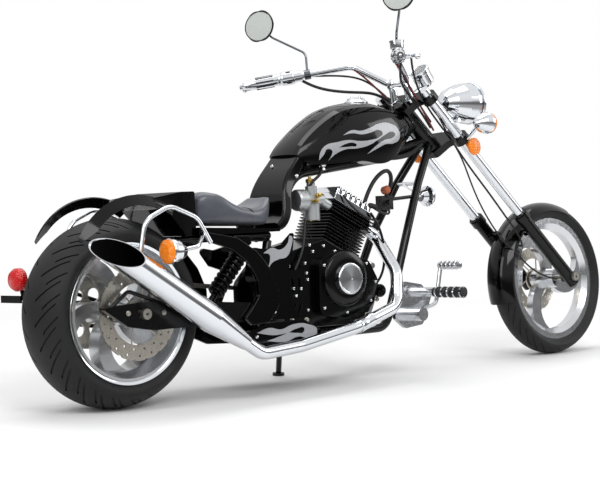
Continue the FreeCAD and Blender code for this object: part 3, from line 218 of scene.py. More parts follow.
def black_lacquer():
    """Sprayed two-pack black under clear lacquer: deep, mirror-like, with faint orange peel."""
    return surface("black lacquer", bpy.context.scene.chopper_paint.lacquer, rough=0.08, grain=14,
                   bump=0.02, spread=0.03, specular_ior_level=0.2, coat_weight=0.15, coat_roughness=0.03)


def frame_enamel():
    """Powder-coated steel tube: black, a little softer than the lacquer."""
    return surface("black powder coat", "#050505", rough=0.2, grain=3, bump=0.03, spread=0.05,
                   specular_ior_level=0.24, coat_weight=0.1, coat_roughness=0.12)


def engine_paint():
    """Heat-proof gloss black on cast aluminium, with the casting's skin under it."""
    return surface("heat-proof engine black", "#030303", rough=0.16, grain=2.4, bump=0.06, spread=0.06,
                   mottle=0.25, specular_ior_level=0.26)


def chrome():
    """Hard chrome plate: near mirror, slightly blue, with a breath of haze."""
    return surface("chrome plate", "#dfe2e6", metallic=1.0, rough=0.07, grain=30, spread=0.03)


def smoked_chrome():
    """Dark chrome of the mirror shells and stems."""
    return surface("dark chrome plate", "#74777b", metallic=1.0, rough=0.12, grain=20, spread=0.04)


def polished_alloy():
    """Buffed aluminium: bright, with a soft haze from the mop."""
    return surface("buffed aluminium", "#d3d5d8", metallic=1.0, rough=0.19, grain=8, spread=0.06,
                   bump=0.02)


def cast_alloy():
    """Silver-painted cast wheel: fine flake, satin lacquer."""
    return surface("silver cast alloy", "#c6c8cb", metallic=0.9, rough=0.24, grain=1.2, spread=0.04,
                   mottle=0.05, coat_weight=0.4, coat_roughness=0.06)


def disc_steel():
    """Ground stainless steel swept by the pads."""
    return surface("ground stainless steel", "#b9b4aa", metallic=1.0, rough=0.3, grain=2.5, spread=0.08)


def axle_steel():
    """Zinc-plated steel: pale grey with a faint yellow bloom."""
    return surface("zinc-plated steel", "#a8a59c", metallic=1.0, rough=0.35, grain=4, spread=0.08,
                   mottle=0.12)


def tyre_compound():
    """Cured tyre rubber: nearly black, dull, with fine moulding bloom."""
    return surface("tyre compound", "#131314", rough=0.6, grain=2.2, bump=0.1, spread=0.07,
                   mottle=0.2, specular_ior_level=0.35)


def moulded_rubber():
    """Soft moulded rubber of grips and pegs."""
    return surface("moulded rubber", "#111112", rough=0.6, grain=0.9, bump=0.06, spread=0.06,
                   mottle=0.15)


def press(material, texture, scale, output, strength, depth, invert=False, **settings):
    """Presses a texture's pattern, of a depth in mm, into a material's surface."""
    tree = material.node_tree
    place = add(material, "ShaderNodeTexCoord")
    pattern = add(material, texture, {"Vector": place.outputs["Object"], "Scale": scale}, **settings)
    raised = add(material, "ShaderNodeBump", {"Height": pattern.outputs[output], "Strength": strength,
                 "Distance": depth * MM}, invert=invert)
    tree.links.new(raised.outputs["Normal"], tree.nodes["Principled BSDF"].inputs["Normal"])
    return material


def grained_vinyl():
    """Expanded vinyl seat cover: charcoal, with a pebbled grain 2.2 mm wide and a soft sheen."""
    vinyl = surface("grained seat vinyl", bpy.context.scene.chopper_paint.seat, rough=0.32, grain=24,
                    spread=0.04, mottle=0.08, sheen_weight=0.1, coat_weight=0.15, coat_roughness=0.25)
    return press(vinyl, "ShaderNodeTexVoronoi", 1 / (2.2 * MM), "Distance", 0.35, 0.35, invert=True,
                 feature="SMOOTH_F1")


def black_plastic():
    """Moulded ABS with a light spark-eroded texture."""
    return surface("moulded ABS", "#0f0f10", rough=0.4, grain=0.8, bump=0.05, spread=0.06, mottle=0.1)


def lens_plastic(name, colour):
    """Dyed acrylic lens with prism lines moulded inside, drawn coarse enough to show."""
    dyed = surface(name, colour, rough=0.16, coat_weight=0.3, coat_roughness=0.03,
                   transmission_weight=0.1, specular_ior_level=0.3)
    return press(dyed, "ShaderNodeTexWave", 1 / (2 * math.pi * 0.9 * MM) / 3, "Fac", 0.6, 0.8,
                 bands_direction="Z")


MAKERS = {
    "black_paint": black_lacquer, "frame_paint": frame_enamel, "engine_black": engine_paint,
    "chrome": chrome, "polished_alloy": polished_alloy, "cast_alloy": cast_alloy,
    "disc_steel": disc_steel, "axle_steel": axle_steel, "tyre_rubber": tyre_compound,
    "soft_rubber": moulded_rubber, "seat_vinyl": grained_vinyl, "black_plastic": black_plastic,
    "amber_lens": lambda: lens_plastic("amber acrylic", "#ff8a06"),
    "red_lens": lambda: lens_plastic("red acrylic", "#d80a0e"),
}
FINISHES = {}


def finish_of(slot):
    """The material of one of the record's slots, made once."""
    if slot not in FINISHES:
        FINISHES[slot] = MAKERS[slot]()
    return FINISHES[slot]


# ---------------- stage
def look_along(yaw, pitch):
    """The camera's turn for a yaw and a pitch, with its picture level."""
    ahead = Vector((math.cos(yaw) * math.cos(pitch), math.sin(yaw) * math.cos(pitch), math.sin(pitch)))
    side = Vector((math.sin(yaw), -math.cos(yaw), 0))
    return Matrix((side, side.cross(ahead), -ahead)).transposed()


class CHOPPER_OT_stage(bpy.types.Operator):
    """Adds the camera, the pale floor and the soft lamps"""
    bl_idname = "chopper.stage"
    bl_label = "Stage"

    def execute(self, context):
        scene = context.scene
        looks = scene.chopper_stage
        lens = bpy.data.cameras.new("camera")
        camera = linked(bpy.data.objects.new("camera", lens))
        camera.matrix_world = (Matrix.Translation(looks.camera_at)
                               @ look_along(looks.camera_yaw, looks.camera_pitch).to_4x4())
        lens.lens = looks.focal_length
        lens.sensor_width = 36
        lens.shift_x, lens.shift_y = looks.camera_shift
        lens.clip_end = 100
        scene.camera = camera

        bpy.ops.object.select_all(action="DESELECT")
        bpy.ops.mesh.primitive_plane_add(size=8, location=(0, 0, 0))
        floor = context.active_object
        floor.name = "floor"
        floor.data.materials.append(pale_floor())

        world = bpy.data.worlds.new("studio")
        world.use_nodes = True
        scene.world = world
        sky(world)
        # name, place, aim, size, power
        for name, place, aim, size, power in (
                ("key", (-1.5, -5.0, 4.5), (0, 0, 0.5), (4.0, 2.0), 150),
                ("side", (-5.0, -1.0, 3.0), (0, 0, 0.5), (2.0, 3.0), 70),
                ("top", (0.5, 1.0, 5.0), (0, 0, 0.5), (5.0, 3.0), 120),
                ("front", (5.0, -3.0, 2.5), (0.5, 0, 0.6), (2.0, 2.5), 60)):
            light = bpy.data.lights.new(name, "AREA")
            light.shape = "RECTANGLE"
            light.size, light.size_y = size
            light.energy = power
            lamp = linked(bpy.data.objects.new(name, light))
            lamp.location = place
            lamp.rotation_euler = (Vector(aim) - Vector(place)).to_track_quat("-Z", "Y").to_euler()
        scene.view_settings.view_transform = "Standard"
        return {"FINISHED"}


def pale_floor():
    """Matt white studio vinyl round the machine, which fades out into the white background."""
    material = surface("white studio floor", "#f8f8f8", rough=0.9, specular_ior_level=0.0)
    tree = material.node_tree
    place = add(material, "ShaderNodeTexCoord")
    away = add(material, "ShaderNodeVectorMath", {0: place.outputs["Object"]}, operation="LENGTH")
    fade = add(material, "ShaderNodeMapRange", {"Value": away.outputs["Value"], "From Min": 1.7,
               "From Max": 2.9, "To Min": 1.0, "To Max": 0.0}, interpolation_type="SMOOTHSTEP")
    tree.links.new(fade.outputs[0], tree.nodes["Principled BSDF"].inputs["Alpha"])
    return material


def sky(world):
    """White to the eye; in gloss a bright ceiling over dark walls; else a soft even light."""
    tree = world.node_tree
    path = add(world, "ShaderNodeLightPath")
    place = add(world, "ShaderNodeTexCoord")
    height = add(world, "ShaderNodeSeparateXYZ", {"Vector": place.outputs["Object"]})
    rise = add(world, "ShaderNodeMapRange", {"Value": height.outputs["Z"], "From Min": -1.0,
               "From Max": 1.0})
    room = stops(add(world, "ShaderNodeValToRGB", {"Fac": rise.outputs[0]}),
                 (0.0, grey(0.6)), (0.42, grey(0.4)), (0.49, grey(0.14)), (0.56, grey(0.2)),
                 (0.63, grey(0.9)), (0.85, grey(1.0)), (1.0, grey(0.8)))
    gloss = add(world, "ShaderNodeMix", {"Factor": path.outputs["Is Glossy Ray"], "A": 0.5,
                "B": room.outputs["Color"]})
    seen = add(world, "ShaderNodeMath", {0: path.outputs["Is Camera Ray"],
               1: path.outputs["Is Transmission Ray"]}, operation="MAXIMUM")
    strength = add(world, "ShaderNodeMix", {"Factor": seen.outputs[0], "A": gloss.outputs[0], "B": 1.0})
    tree.links.new(strength.outputs[0], tree.nodes["Background"].inputs["Strength"])
    tree.nodes["Background"].inputs["Color"].default_value = (1, 1, 1, 1)


# ---------------- plain finishes
class CHOPPER_OT_finishes(bpy.types.Operator):
    """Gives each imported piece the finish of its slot"""
    bl_idname = "chopper.finishes"
    bl_label = "Finishes"

    def execute(self, context):
        for part in frame["record"]["subparts"]:
            mesh = frame["nodes"][part["node"]].data
            mesh.materials.clear()
            mesh.materials.append(finish_of(part["material_slot"]))
        for node, finish in (("rear_shock", finish_of("frame_paint")), ("mirrors", smoked_chrome()),
                             ("carburettor", carb_metal())):
            frame["nodes"][node].data.materials[0] = finish
        return {"FINISHED"}


# ---------------- modelling aids
def only(*objects):
    """Selects these objects and nothing else; the last is active."""
    if bpy.context.object and bpy.context.object.mode != "OBJECT":
        bpy.ops.object.mode_set(mode="OBJECT")
    bpy.ops.object.select_all(action="DESELECT")
    for obj in objects:
        obj.select_set(True)
        bpy.context.view_layer.objects.active = obj
    return objects[-1]


def linked(obj):
    """Puts a new object in the scene and selects it alone."""
    bpy.context.scene.collection.objects.link(obj)
    return only(obj)


def begin(kind, name, **settings):
    """Adds one primitive, in millimetres, with its place and size in its mesh."""
    bpy.ops.object.select_all(action="DESELECT")
    getattr(bpy.ops.mesh, "primitive_" + kind + "_add")(**settings)
    obj = only(bpy.context.active_object)
    obj.name = obj.data.name = name
    bpy.ops.object.transform_apply()
    return obj


def pick(obj, test=None, mode="FACE"):
    """Opens edit mode with the faces or edges chosen by test(element), or with all of them."""
    only(obj)
    bpy.ops.object.mode_set(mode="EDIT")
    bpy.ops.mesh.select_mode(type=mode)
    bpy.ops.mesh.select_all(action="DESELECT")
    shell = bmesh.from_edit_mesh(obj.data)
    for element in shell.faces if mode == "FACE" else shell.edges:
        if test is None or test(element):
            element.select_set(True)
    shell.select_flush_mode()
    bmesh.update_edit_mesh(obj.data)


def close_edit():
    bpy.ops.object.mode_set(mode="OBJECT")


def modify(obj, kind, **settings):
    """Adds a modifier and applies it."""
    only(obj)
    step = obj.modifiers.new("step", kind)
    for name, value in settings.items():
        setattr(step, name, value)
    bpy.ops.object.modifier_apply(modifier=step.name)
    return obj


def lathe(name, rows, steps, closed=False, twist=None):
    """Rings of (radius, height) about Z, extruded one from the other; a radius of 0 closes an end."""
    first = max(rows[0][0], 0.01)
    obj = begin("circle", name, vertices=steps, radius=first, location=(0, 0, rows[0][1]))
    bpy.ops.object.mode_set(mode="EDIT")
    bpy.ops.mesh.select_all(action="SELECT")
    now, level, turned = first, rows[0][1], twist(rows[0][1]) if twist else 0.0
    for radius, height in rows[1:]:
        radius = max(radius, 0.01)
        bpy.ops.mesh.extrude_edges_move(TRANSFORM_OT_translate={"value": (0, 0, height - level)})
        bpy.ops.transform.resize(value=(radius / now, radius / now, 1),
                                 center_override=(0, 0, height))
        if twist:
            bpy.ops.transform.rotate(value=turned - twist(height), orient_axis="Z",
                                     center_override=(0, 0, height))
            turned = twist(height)
        now, level = radius, height
    close_edit()
    if closed:
        pick(obj, lambda edge: edge.is_boundary, "EDGE")
        bpy.ops.mesh.bridge_edge_loops()
        close_edit()
    pick(obj)
    bpy.ops.mesh.remove_doubles(threshold=0.05)
    bpy.ops.mesh.normals_make_consistent(inside=False)
    close_edit()
    return smooth(obj)


def smooth(obj, degrees=35):
    only(obj)
    bpy.ops.object.shade_smooth_by_angle(angle=math.radians(degrees))
    return obj


def facing(at, direction):
    """The place of a piece made about +Z that is to stand at a point and face a direction."""
    turn = Vector(direction).to_track_quat("Z", "Y")
    return Matrix.Translation(Vector(at)) @ turn.to_matrix().to_4x4()


def dress(obj, body, slot, *finishes):
    """Gives a piece that is in place its finishes and ties it to its body."""
    obj.data.materials.clear()
    for finish in finishes or (finish_of(slot),):
        obj.data.materials.append(finish)
    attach(obj, body)
    return obj


def settle(obj, body, slot, finish=None, at=Matrix.Identity(4)):
    """Moves a millimetre mesh to its place on its body and dresses it."""
    obj.data.transform(HOME[body] @ at)
    obj.matrix_world = Matrix.Identity(4)
    return dress(obj, body, slot, finish or finish_of(slot))


def rounded_box(name, size, at=(0, 0, 0), edge=1.0, segments=2):
    """A block with rounded edges, in millimetres."""
    return modify(begin("cube", name, size=1, location=at, scale=size), "BEVEL", width=edge,
                  segments=segments)


def span(obj):
    """The lowest and the highest corner of a mesh."""
    places = [v.co for v in obj.data.vertices]
    return [Vector([end(place[k] for place in places) for k in range(3)]) for end in (min, max)]


def copied(node, name, to_mm=None):
    """A merged copy of a CAD piece's mesh, in metres, or in the millimetres of to_mm."""
    obj = linked(bpy.data.objects.new(name, frame["nodes"][node].data.copy()))
    if to_mm:
        obj.data.transform(to_mm.inverted())
    pick(obj)
    bpy.ops.mesh.remove_doubles(threshold=0.02 if to_mm else 0.00002)
    bpy.ops.mesh.dissolve_limited(angle_limit=math.radians(1.0))
    close_edit()
    return obj


def joined(name, objects):
    only(*objects)
    bpy.ops.object.join()
    obj = bpy.context.active_object
    obj.name = obj.data.name = name
    return obj


def stamped(name, pattern, places):
    """Copies of one small pattern at several places, joined as one piece; the pattern is used up."""
    copies = []
    for place in places:
        twin = pattern.copy()
        twin.data = pattern.data.copy()
        twin.data.transform(place)
        copies.append(linked(twin))
    bpy.data.objects.remove(pattern)
    return joined(name, copies)


def as_mesh(name, curve):
    linked(bpy.data.objects.new(name, curve))
    bpy.ops.object.convert(target="MESH")
    return bpy.context.active_object


def tube(name, points, radius):
    """A round cord along a smooth curve that the points pull on, in millimetres, as a mesh."""
    line = bpy.data.curves.new(name, "CURVE")
    line.dimensions = "3D"
    line.bevel_depth = radius
    line.bevel_resolution = 2
    line.resolution_u = 12
    line.use_fill_caps = True
    run = line.splines.new("NURBS")
    run.points.add(len(points) - 1)
    for spot, point in zip(run.points, points):
        spot.co = (*point, 1)
    run.use_endpoint_u = True
    run.order_u = 4
    return smooth(as_mesh(name, line), 60)


# ---------------- softened panels
# node, radius of its edges in mm
SOFTENED = (("seat_cowl", 3.0), ("rear_fender", 1.2), ("mid_panels", 2.5), ("side_panels", 4.0),
            ("belly_panels", 2.5), ("swingarm", 2.0), ("crankcase", 4.0), ("clutch_cover", 3.0),
            ("generator_cover", 3.0), ("cylinder", 0.6), ("rocker_cover", 1.6), ("tank_cap", 1.0),
            ("rear_caliper", 2.0), ("front_caliper", 2.0), ("upper_yoke", 2.0), ("lower_yoke", 2.0),
            ("foot_controls", 1.2), ("ignition_coil", 1.5), ("bar_controls", 1.2))


class CHOPPER_OT_panels(bpy.types.Operator):
    """Rounds the edges of the pressed and cast pieces"""
    bl_idname = "chopper.panels"
    bl_label = "Panels and castings"

    def execute(self, context):
        for node, radius in SOFTENED:
            obj = copied(node, node + "_rounded")
            modify(obj, "BEVEL", width=radius * MM, segments=3, limit_method="ANGLE",
                   angle_limit=math.radians(38), miter_outer="MITER_ARC")
            smooth(obj, 42)
            modify(obj, "WEIGHTED_NORMAL", keep_sharp=True, weight=80)
            slot = next(p["material_slot"] for p in frame["record"]["subparts"] if p["node"] == node)
            dress(obj, body_of(frame["nodes"][node])[0], slot)
            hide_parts(node)
        return {"FINISHED"}


# ---------------- saddle
# in mm: how far the foam is drawn in, the size of its cells, and the rim that the cover is held by
FOAM_INSET, FOAM_CELL, PINNED_RIM = 8.0, 6.0, 20.0
SWELL_FRAMES = 20
# name, mm ahead of the rear axle; the cords' half width, bow, drop height and radius in mm, and steps
CORDS = (("saddle_welt", 452), ("saddle_stitch", 459))
CORD_HALF, CORD_BOW, CORD_DROP, CORD_RADIUS, CORD_STEPS = 100, 26, 700, 1.9, 24


class CHOPPER_OT_saddle(bpy.types.Operator):
    """Foam saddle under a grained cover, with two cords across its dip"""
    bl_idname = "chopper.saddle"
    bl_label = "Saddle"

    def execute(self, context):
        looks = context.scene.chopper_saddle
        pad = copied("seat", "saddle", PARKED)
        low, high = span(pad)
        block = rounded_box("block", high - low, (low + high) / 2, looks.corner, 8)
        modify(pad, "BOOLEAN", operation="INTERSECT", object=block, solver="EXACT")
        bpy.data.objects.remove(block)
        pad.data.transform(PARKED)
        pick(pad)
        bpy.ops.transform.shrink_fatten(value=-FOAM_INSET * MM)
        close_edit()
        pad.data.remesh_voxel_size = FOAM_CELL * MM
        only(pad)
        bpy.ops.object.voxel_remesh()
        modify(pad, "SMOOTH", factor=0.5, iterations=looks.rounding)
        swell(pad, looks.pressure, looks.travel)
        modify(pad, "SMOOTH", factor=0.5, iterations=looks.settling)
        modify(pad, "SUBSURF", levels=1, render_levels=1)
        smooth(pad, 80)
        dress(pad, "chassis", "seat_vinyl")
        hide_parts("seat")
        for name, ahead in CORDS:
            line = []
            for n in range(CORD_STEPS + 1):
                across = math.sin(math.pi * (n / CORD_STEPS - 0.5))
                start = Vector((ahead + CORD_BOW * across ** 2, CORD_HALF * across, CORD_DROP))
                hit = drop(pad, start)
                if hit:
                    line.append(hit)
            settle(tube(name, line, CORD_RADIUS), "chassis", "soft_rubber")
        return {"FINISHED"}


def drop(obj, start):
    """Where a point falls onto a piece, straight down the upright machine, in its millimetres."""
    down = (PARKED.to_3x3() @ Vector((0, 0, -1))).normalized()
    struck, place, _, _ = obj.ray_cast(PARKED @ start, down)
    return PARKED.inverted() @ place if struck else None


def swell(pad, pressure, travel):
    """Fills the cover as foam does, and keeps every point within a small travel."""
    before = [v.co.copy() for v in pad.data.vertices]
    edge = min(co.z for co in before) + PINNED_RIM * MM
    pinned = pad.vertex_groups.new(name="base")
    pinned.add([v.index for v in pad.data.vertices if v.co.z < edge], 1.0, "REPLACE")
    cloth = pad.modifiers.new("cover", "CLOTH")
    cloth.settings.use_pressure = True
    cloth.settings.uniform_pressure_force = pressure
    cloth.settings.vertex_group_mass = pinned.name
    cloth.settings.effector_weights.gravity = 0.0
    cloth.point_cache.frame_start, cloth.point_cache.frame_end = 1, SWELL_FRAMES
    for number in range(1, SWELL_FRAMES + 1):
        bpy.context.scene.frame_set(number)
    only(pad)
    bpy.ops.object.modifier_apply(modifier=cloth.name)
    bpy.context.scene.frame_set(1)
    for vertex, start in zip(pad.data.vertices, before):
        move = vertex.co - start
        if move.length > travel * MM:
            vertex.co = start + move.normalized() * travel * MM
    pad.vertex_groups.clear()


# ---------------- tyres
# name, node, body, axle, radius, radius of the crown, half width, spacing of the rings, steps round,
# side as (radius, half width), grooves as (every so many steps, from which, from and to on the half width)
TYRES = (
    ("rear_tread", "rear_tyre", "rear_wheel", REAR_AXLE, 286.0, 150.0, 98.0, 7.0, 144,
     ((214, 94), (219, 100), (228, 104.5), (236, 105.6), (243, 104)),
     ((6, 0, 0.2, 0.9), (6, 2, 0.5, 0.97))),
    ("front_tread", "front_tyre", "front_wheel", FRONT_AXLE, 274.0, 62.0, 44.0, 5.2, 132,
     ((224, 31), (229, 38), (237, 46), (245, 49.2), (250, 48)), ((4, 0, 0.3, 1.0),)))


def tread(name, radius, crown, reach, spacing, steps, side, grooves, looks):
    """A tyre about Z. Its cells run round in a sweep, and its grooves are cells drawn in and sunk."""
    def height(y):
        return radius - crown + math.sqrt(crown ** 2 - y ** 2)

    def twist(y):
        return looks.sweep * (abs(y) / reach) ** 1.2

    def grooved(face):
        middle = face.calc_center_median()
        if math.hypot(middle.x, middle.y) < height(reach) - 4:
            return False
        column = round((math.atan2(middle.y, middle.x) - twist(middle.z)) * steps / (2 * math.pi) - 0.5)
        if middle.z < 0:
            column += 3
        share = abs(middle.z) / reach
        return any(column % every == first and start < share < end
                   for every, first, start, end in grooves)

    rings = int(reach * 2 / spacing)
    crest = [reach * (2 * n / rings - 1) for n in range(rings + 1)]
    foot, inner = side[0][0] - 9, side[0][1] - 4
    rows = ([(r, -y) for r, y in side] + [(height(y), y) for y in crest]
            + [(r, y) for r, y in reversed(side)] + [(foot, inner), (foot, -inner)])
    obj = lathe(name, rows, steps, closed=True, twist=twist)
    pick(obj, grooved)
    bpy.ops.mesh.inset(thickness=looks.groove_lip)
    bpy.ops.mesh.extrude_region_shrink_fatten(TRANSFORM_OT_shrink_fatten={"value": -looks.groove_depth})
    close_edit()
    return smooth(obj, 40)


class CHOPPER_OT_tyres(bpy.types.Operator):
    """Treaded tyres with moulded side ribs"""
    bl_idname = "chopper.tyres"
    bl_label = "Tyres"

    def execute(self, context):
        for name, node, body, axle, *shape in TYRES:
            obj = tread(name, *shape, context.scene.chopper_tyres)
            settle(obj, body, "tyre_rubber", at=facing(axle, (0, 1, 0)))
            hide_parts(node)
        return {"FINISHED"}


# ---------------- flames
# closed outlines in mm ahead of the rear axle and up; "v" is a sharp corner
TANK_FLAME = (
    ((872, 806, "v"), (908, 822), (948, 820), (990, 830), (1036, 844), (1090, 844), (1130, 822),
     (1132, 794), (1100, 778), (1052, 774), (1012, 760), (966, 742, "v"), (1016, 774), (1056, 790),
     (1092, 796), (1108, 808), (1092, 816), (1056, 806), (1020, 790), (976, 772), (924, 762), (878, 760),
     (838, 746), (808, 724, "v"), (822, 744), (824, 756), (806, 762), (792, 744), (774, 726, "v"),
     (780, 752), (802, 774), (846, 784), (892, 790), (940, 786), (990, 790), (1030, 800), (1044, 812),
     (1028, 822), (990, 814), (948, 808), (908, 812)),
    ((850, 766, "v"), (880, 778), (912, 780), (922, 773), (900, 769)))
# the right mid panel's lick is partly a silver flame and partly a painted reflection of the glossy panel
# there
MID_FLAME_AND_REFLECTION = (
    ((486, 440, "v"), (520, 455), (556, 448), (586, 466), (600, 490), (598, 448), (580, 424),
     (548, 418), (520, 408), (498, 384, "v"), (512, 420), (510, 434)),)
BELLY_FLAME = (
    ((432, 196, "v"), (480, 208), (530, 200), (580, 212), (640, 208), (678, 184), (650, 166),
     (596, 172), (548, 160), (470, 168, "v"), (520, 178), (552, 186, "v"), (500, 184)),
    ((560, 188, "v"), (596, 198), (624, 196), (620, 184), (594, 184)))


SHEET_OUT, SHEET_CELL = 260, 9.0


def sheet_of(name, outlines, side):
    """The flat area inside the outlines, cut into cells, standing well outside the machine's side."""
    drawn = bpy.data.curves.new(name, "CURVE")
    drawn.dimensions = "2D"
    drawn.fill_mode = "FRONT"
    drawn.resolution_u = 8
    for outline in outlines:
        run = drawn.splines.new("BEZIER")
        run.bezier_points.add(len(outline) - 1)
        run.use_cyclic_u = True
        for spot, row in zip(run.bezier_points, outline):
            spot.co = (row[0], row[1], 0)
            spot.handle_left_type = spot.handle_right_type = "AUTO"
        for spot, row in zip(run.bezier_points, outline):
            if len(row) == 3:
                spot.handle_left_type = spot.handle_right_type = "VECTOR"
    obj = as_mesh(name, drawn)
    obj.data.transform(Matrix.Translation((0, side * SHEET_OUT, 0)) @ Matrix.Rotation(math.pi / 2, 4, "X"))
    for normal in (Vector((1, 0, 0)), Vector((0, 0, 1))):
        low, high = (corner.dot(normal) for corner in span(obj))
        while low + SHEET_CELL < high:
            low += SHEET_CELL
            pick(obj)
            bpy.ops.mesh.bisect(plane_co=normal * low, plane_no=normal)
            close_edit()
    return obj


class CHOPPER_OT_flames(bpy.types.Operator):
    """Silver flame licks laid on the tank and the side panels; the lick on the right mid panel is also a
    painted reflection of that glossy panel
    """
    bl_idname = "chopper.flames"
    bl_label = "Flames"

    def execute(self, context):
        silver = silver_flake()
        for place, node, outlines, sides in (
                ("tank", "fuel_tank", TANK_FLAME, SIDES),
                # only on the right side, where the silver lick also paints the mid panel's reflection
                ("mid", "mid_panels", MID_FLAME_AND_REFLECTION, SIDES[:1]),
                ("belly", "belly_panels", BELLY_FLAME, SIDES)):
            target = copied(node, "target", PARKED)
            for side, word in sides:
                obj = sheet_of(place + "_flames_" + word, outlines, side)
                modify(obj, "SHRINKWRAP", target=target, wrap_method="PROJECT", use_project_y=True,
                       use_negative_direction=True, use_positive_direction=True,
                       wrap_mode="ABOVE_SURFACE", offset=0.35)
                pick(obj)
                bpy.ops.mesh.quads_convert_to_tris()
                bpy.ops.mesh.normals_make_consistent(inside=False)
                close_edit()
                if sum(p.normal.y * p.area for p in obj.data.polygons) * side < 0:
                    pick(obj)
                    bpy.ops.mesh.flip_normals()
                    close_edit()
                modify(obj, "SOLIDIFY", thickness=0.5, offset=-1.0)
                smooth(obj, 50)
                settle(obj, "chassis", "black_paint", silver)
            bpy.data.objects.remove(target)
        return {"FINISHED"}


def silver_flake():
    """Silver basecoat with fine flake under clear lacquer, for the flame licks."""
    return surface("silver flake paint", bpy.context.scene.chopper_paint.flames, metallic=0.3, rough=0.45,
                   grain=0.6, spread=0.1, mottle=0.1, coat_weight=0.4, coat_roughness=0.05)


# ---------------- lamps, glass, dial
def clear_glass():
    """Clear pressed glass with fine flutes 6 mm apart."""
    glass = surface("fluted lamp glass", "#f4f8fa", rough=0.04, transmission_weight=0.9)
    return press(glass, "ShaderNodeTexWave", 1 / (2 * math.pi * 6 * MM), "Fac", 0.5, 0.8,
                 bands_direction="Y")


def silvered_glass():
    """Mirror glass: silvered behind, with the faint green of float glass over it."""
    return surface("silvered glass", "#eef4ef", metallic=0.3, rough=0.06, grain=40, spread=0.01)


def dial_black():
    """Printed dial card, matt black."""
    return surface("matt dial card", "#0c0c0d", rough=0.7, grain=0.5, spread=0.05, mottle=0.1)


def dial_white():
    """Screen-printed white ink."""
    return surface("white dial ink", "#e8e8e2", rough=0.6, grain=0.4, spread=0.05)


def brass():
    """Yellow-passivated carburettor fittings."""
    return surface("yellow-passivated brass", "#b99a4e", metallic=1.0, rough=0.34, grain=1.5, spread=0.1,
                   mottle=0.2)


def red_sleeve():
    """Dark red woven sleeve over a cable."""
    return surface("red woven sleeve", "#6e2226", rough=0.5, grain=1.0, bump=0.1, spread=0.08, mottle=0.3)


def carb_metal():
    """Pressure-cast zinc, dull grey."""
    return surface("pressure-cast zinc", "#b4b7b8", metallic=0.9, rough=0.42, grain=1.0, bump=0.08,
                   spread=0.08, mottle=0.15)


def resin():
    """Orange-brown moulded resin of electrical parts."""
    return surface("orange moulded resin", "#9a4a1c", rough=0.45, grain=1.0, bump=0.05, mottle=0.15)


class CHOPPER_OT_lamps(bpy.types.Operator):
    """Lamp glass and rim, mirror glasses and rims, the speedometer's dial and the tail lamp"""
    bl_idname = "chopper.lamps"
    bl_label = "Lamps, mirrors and dial"

    def execute(self, context):
        glass, silvered = clear_glass(), silvered_glass()
        ahead = facing(HEAD_LAMP, (1, 0, 0))
        dome = [(0, 0), (63, 0), (62, 5), (55, 11), (40, 17), (20, 20.5), (0, 21.5)]
        settle(lathe("headlamp_glass", dome, 64), "steering", "chrome", glass, ahead)
        rim = [(62, -1), (73, -4), (75, 1), (74, 7), (69, 10), (63.5, 8)]
        settle(lathe("headlamp_rim", rim, 64, closed=True), "steering", "chrome", at=ahead)
        flat = [(0, 0), (68, 0), (67, 1.4), (40, 2.2), (0, 2.6)]
        edge = [(67.5, -3), (70.5, -3), (71.5, 0), (70.5, 3), (68, 2.4)]
        for side, word in SIDES:
            low = Matrix.Diagonal((1, MIRROR_HEIGHT, 1, 1))
            behind = facing(on_side(MIRROR, side), (-1, 0, 0)) @ low
            settle(lathe("mirror_glass_" + word, flat, 64), "steering", "chrome", silvered, behind)
            settle(lathe("mirror_rim_" + word, edge, 64, closed=True), "steering", "black_paint",
                   at=behind)
        self.dial(glass)
        self.tail_lamp()
        return {"FINISHED"}

    def dial(self, glass):
        """A printed card with marks and a hand, under a domed glass"""
        at = facing(DIAL, DIAL_FACE)
        card = [(0, 0.2), (31, 0.2), (31, 0.8), (0, 0.8)]
        settle(lathe("dial_card", card, 48), "steering", "black_plastic", dial_black(), at)
        rim = [(31, 0), (36.5, -1), (37, 4), (34, 6.5), (31, 5)]
        settle(lathe("dial_rim", rim, 48, closed=True), "steering", "chrome", at=at)
        dome = [(0, 3.6), (31.5, 3.2), (31.5, 4.2), (18, 5.6), (0, 6.2)]
        settle(lathe("dial_glass", dome, 48), "steering", "chrome", glass, at)
        mark = rounded_box("mark", (1, 5, 0.5), (0, 25, 1.1), 0.12, 1)
        marks = stamped("dial_marks", mark, [turned_by(-135 + 270 * n / 12) for n in range(13)])
        settle(marks, "steering", "black_plastic", dial_white(), at)
        hand = begin("cone", "dial_hand", vertices=4, radius1=1.6, radius2=0.3, depth=22,
                     location=(0, 8, 1.8), rotation=(-math.pi / 2, 0, 0))
        modify(hand, "BEVEL", width=0.2, segments=2)
        settle(hand, "steering", "black_plastic", finish_of("amber_lens"), at @ turned_by(128))

    def tail_lamp(self):
        """The lens stays red; its bowl, arm and plate bracket are black."""
        obj = copied("tail_lamp", "tail_lamp_finished")
        smooth(obj, 42)
        dress(obj, "chassis", "red_lens", finish_of("red_lens"), finish_of("frame_paint"))
        back = PARKED.inverted()
        for face in obj.data.polygons:
            at = back @ face.center - TAIL_LENS
            lens = at.x < -6 and math.hypot(at.y, at.z) < TAIL_LENS_RADIUS
            face.material_index = 0 if lens else 1
        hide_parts("tail_lamp")


GRIP_LENGTH, SWITCH_INBOARD = 142, 172


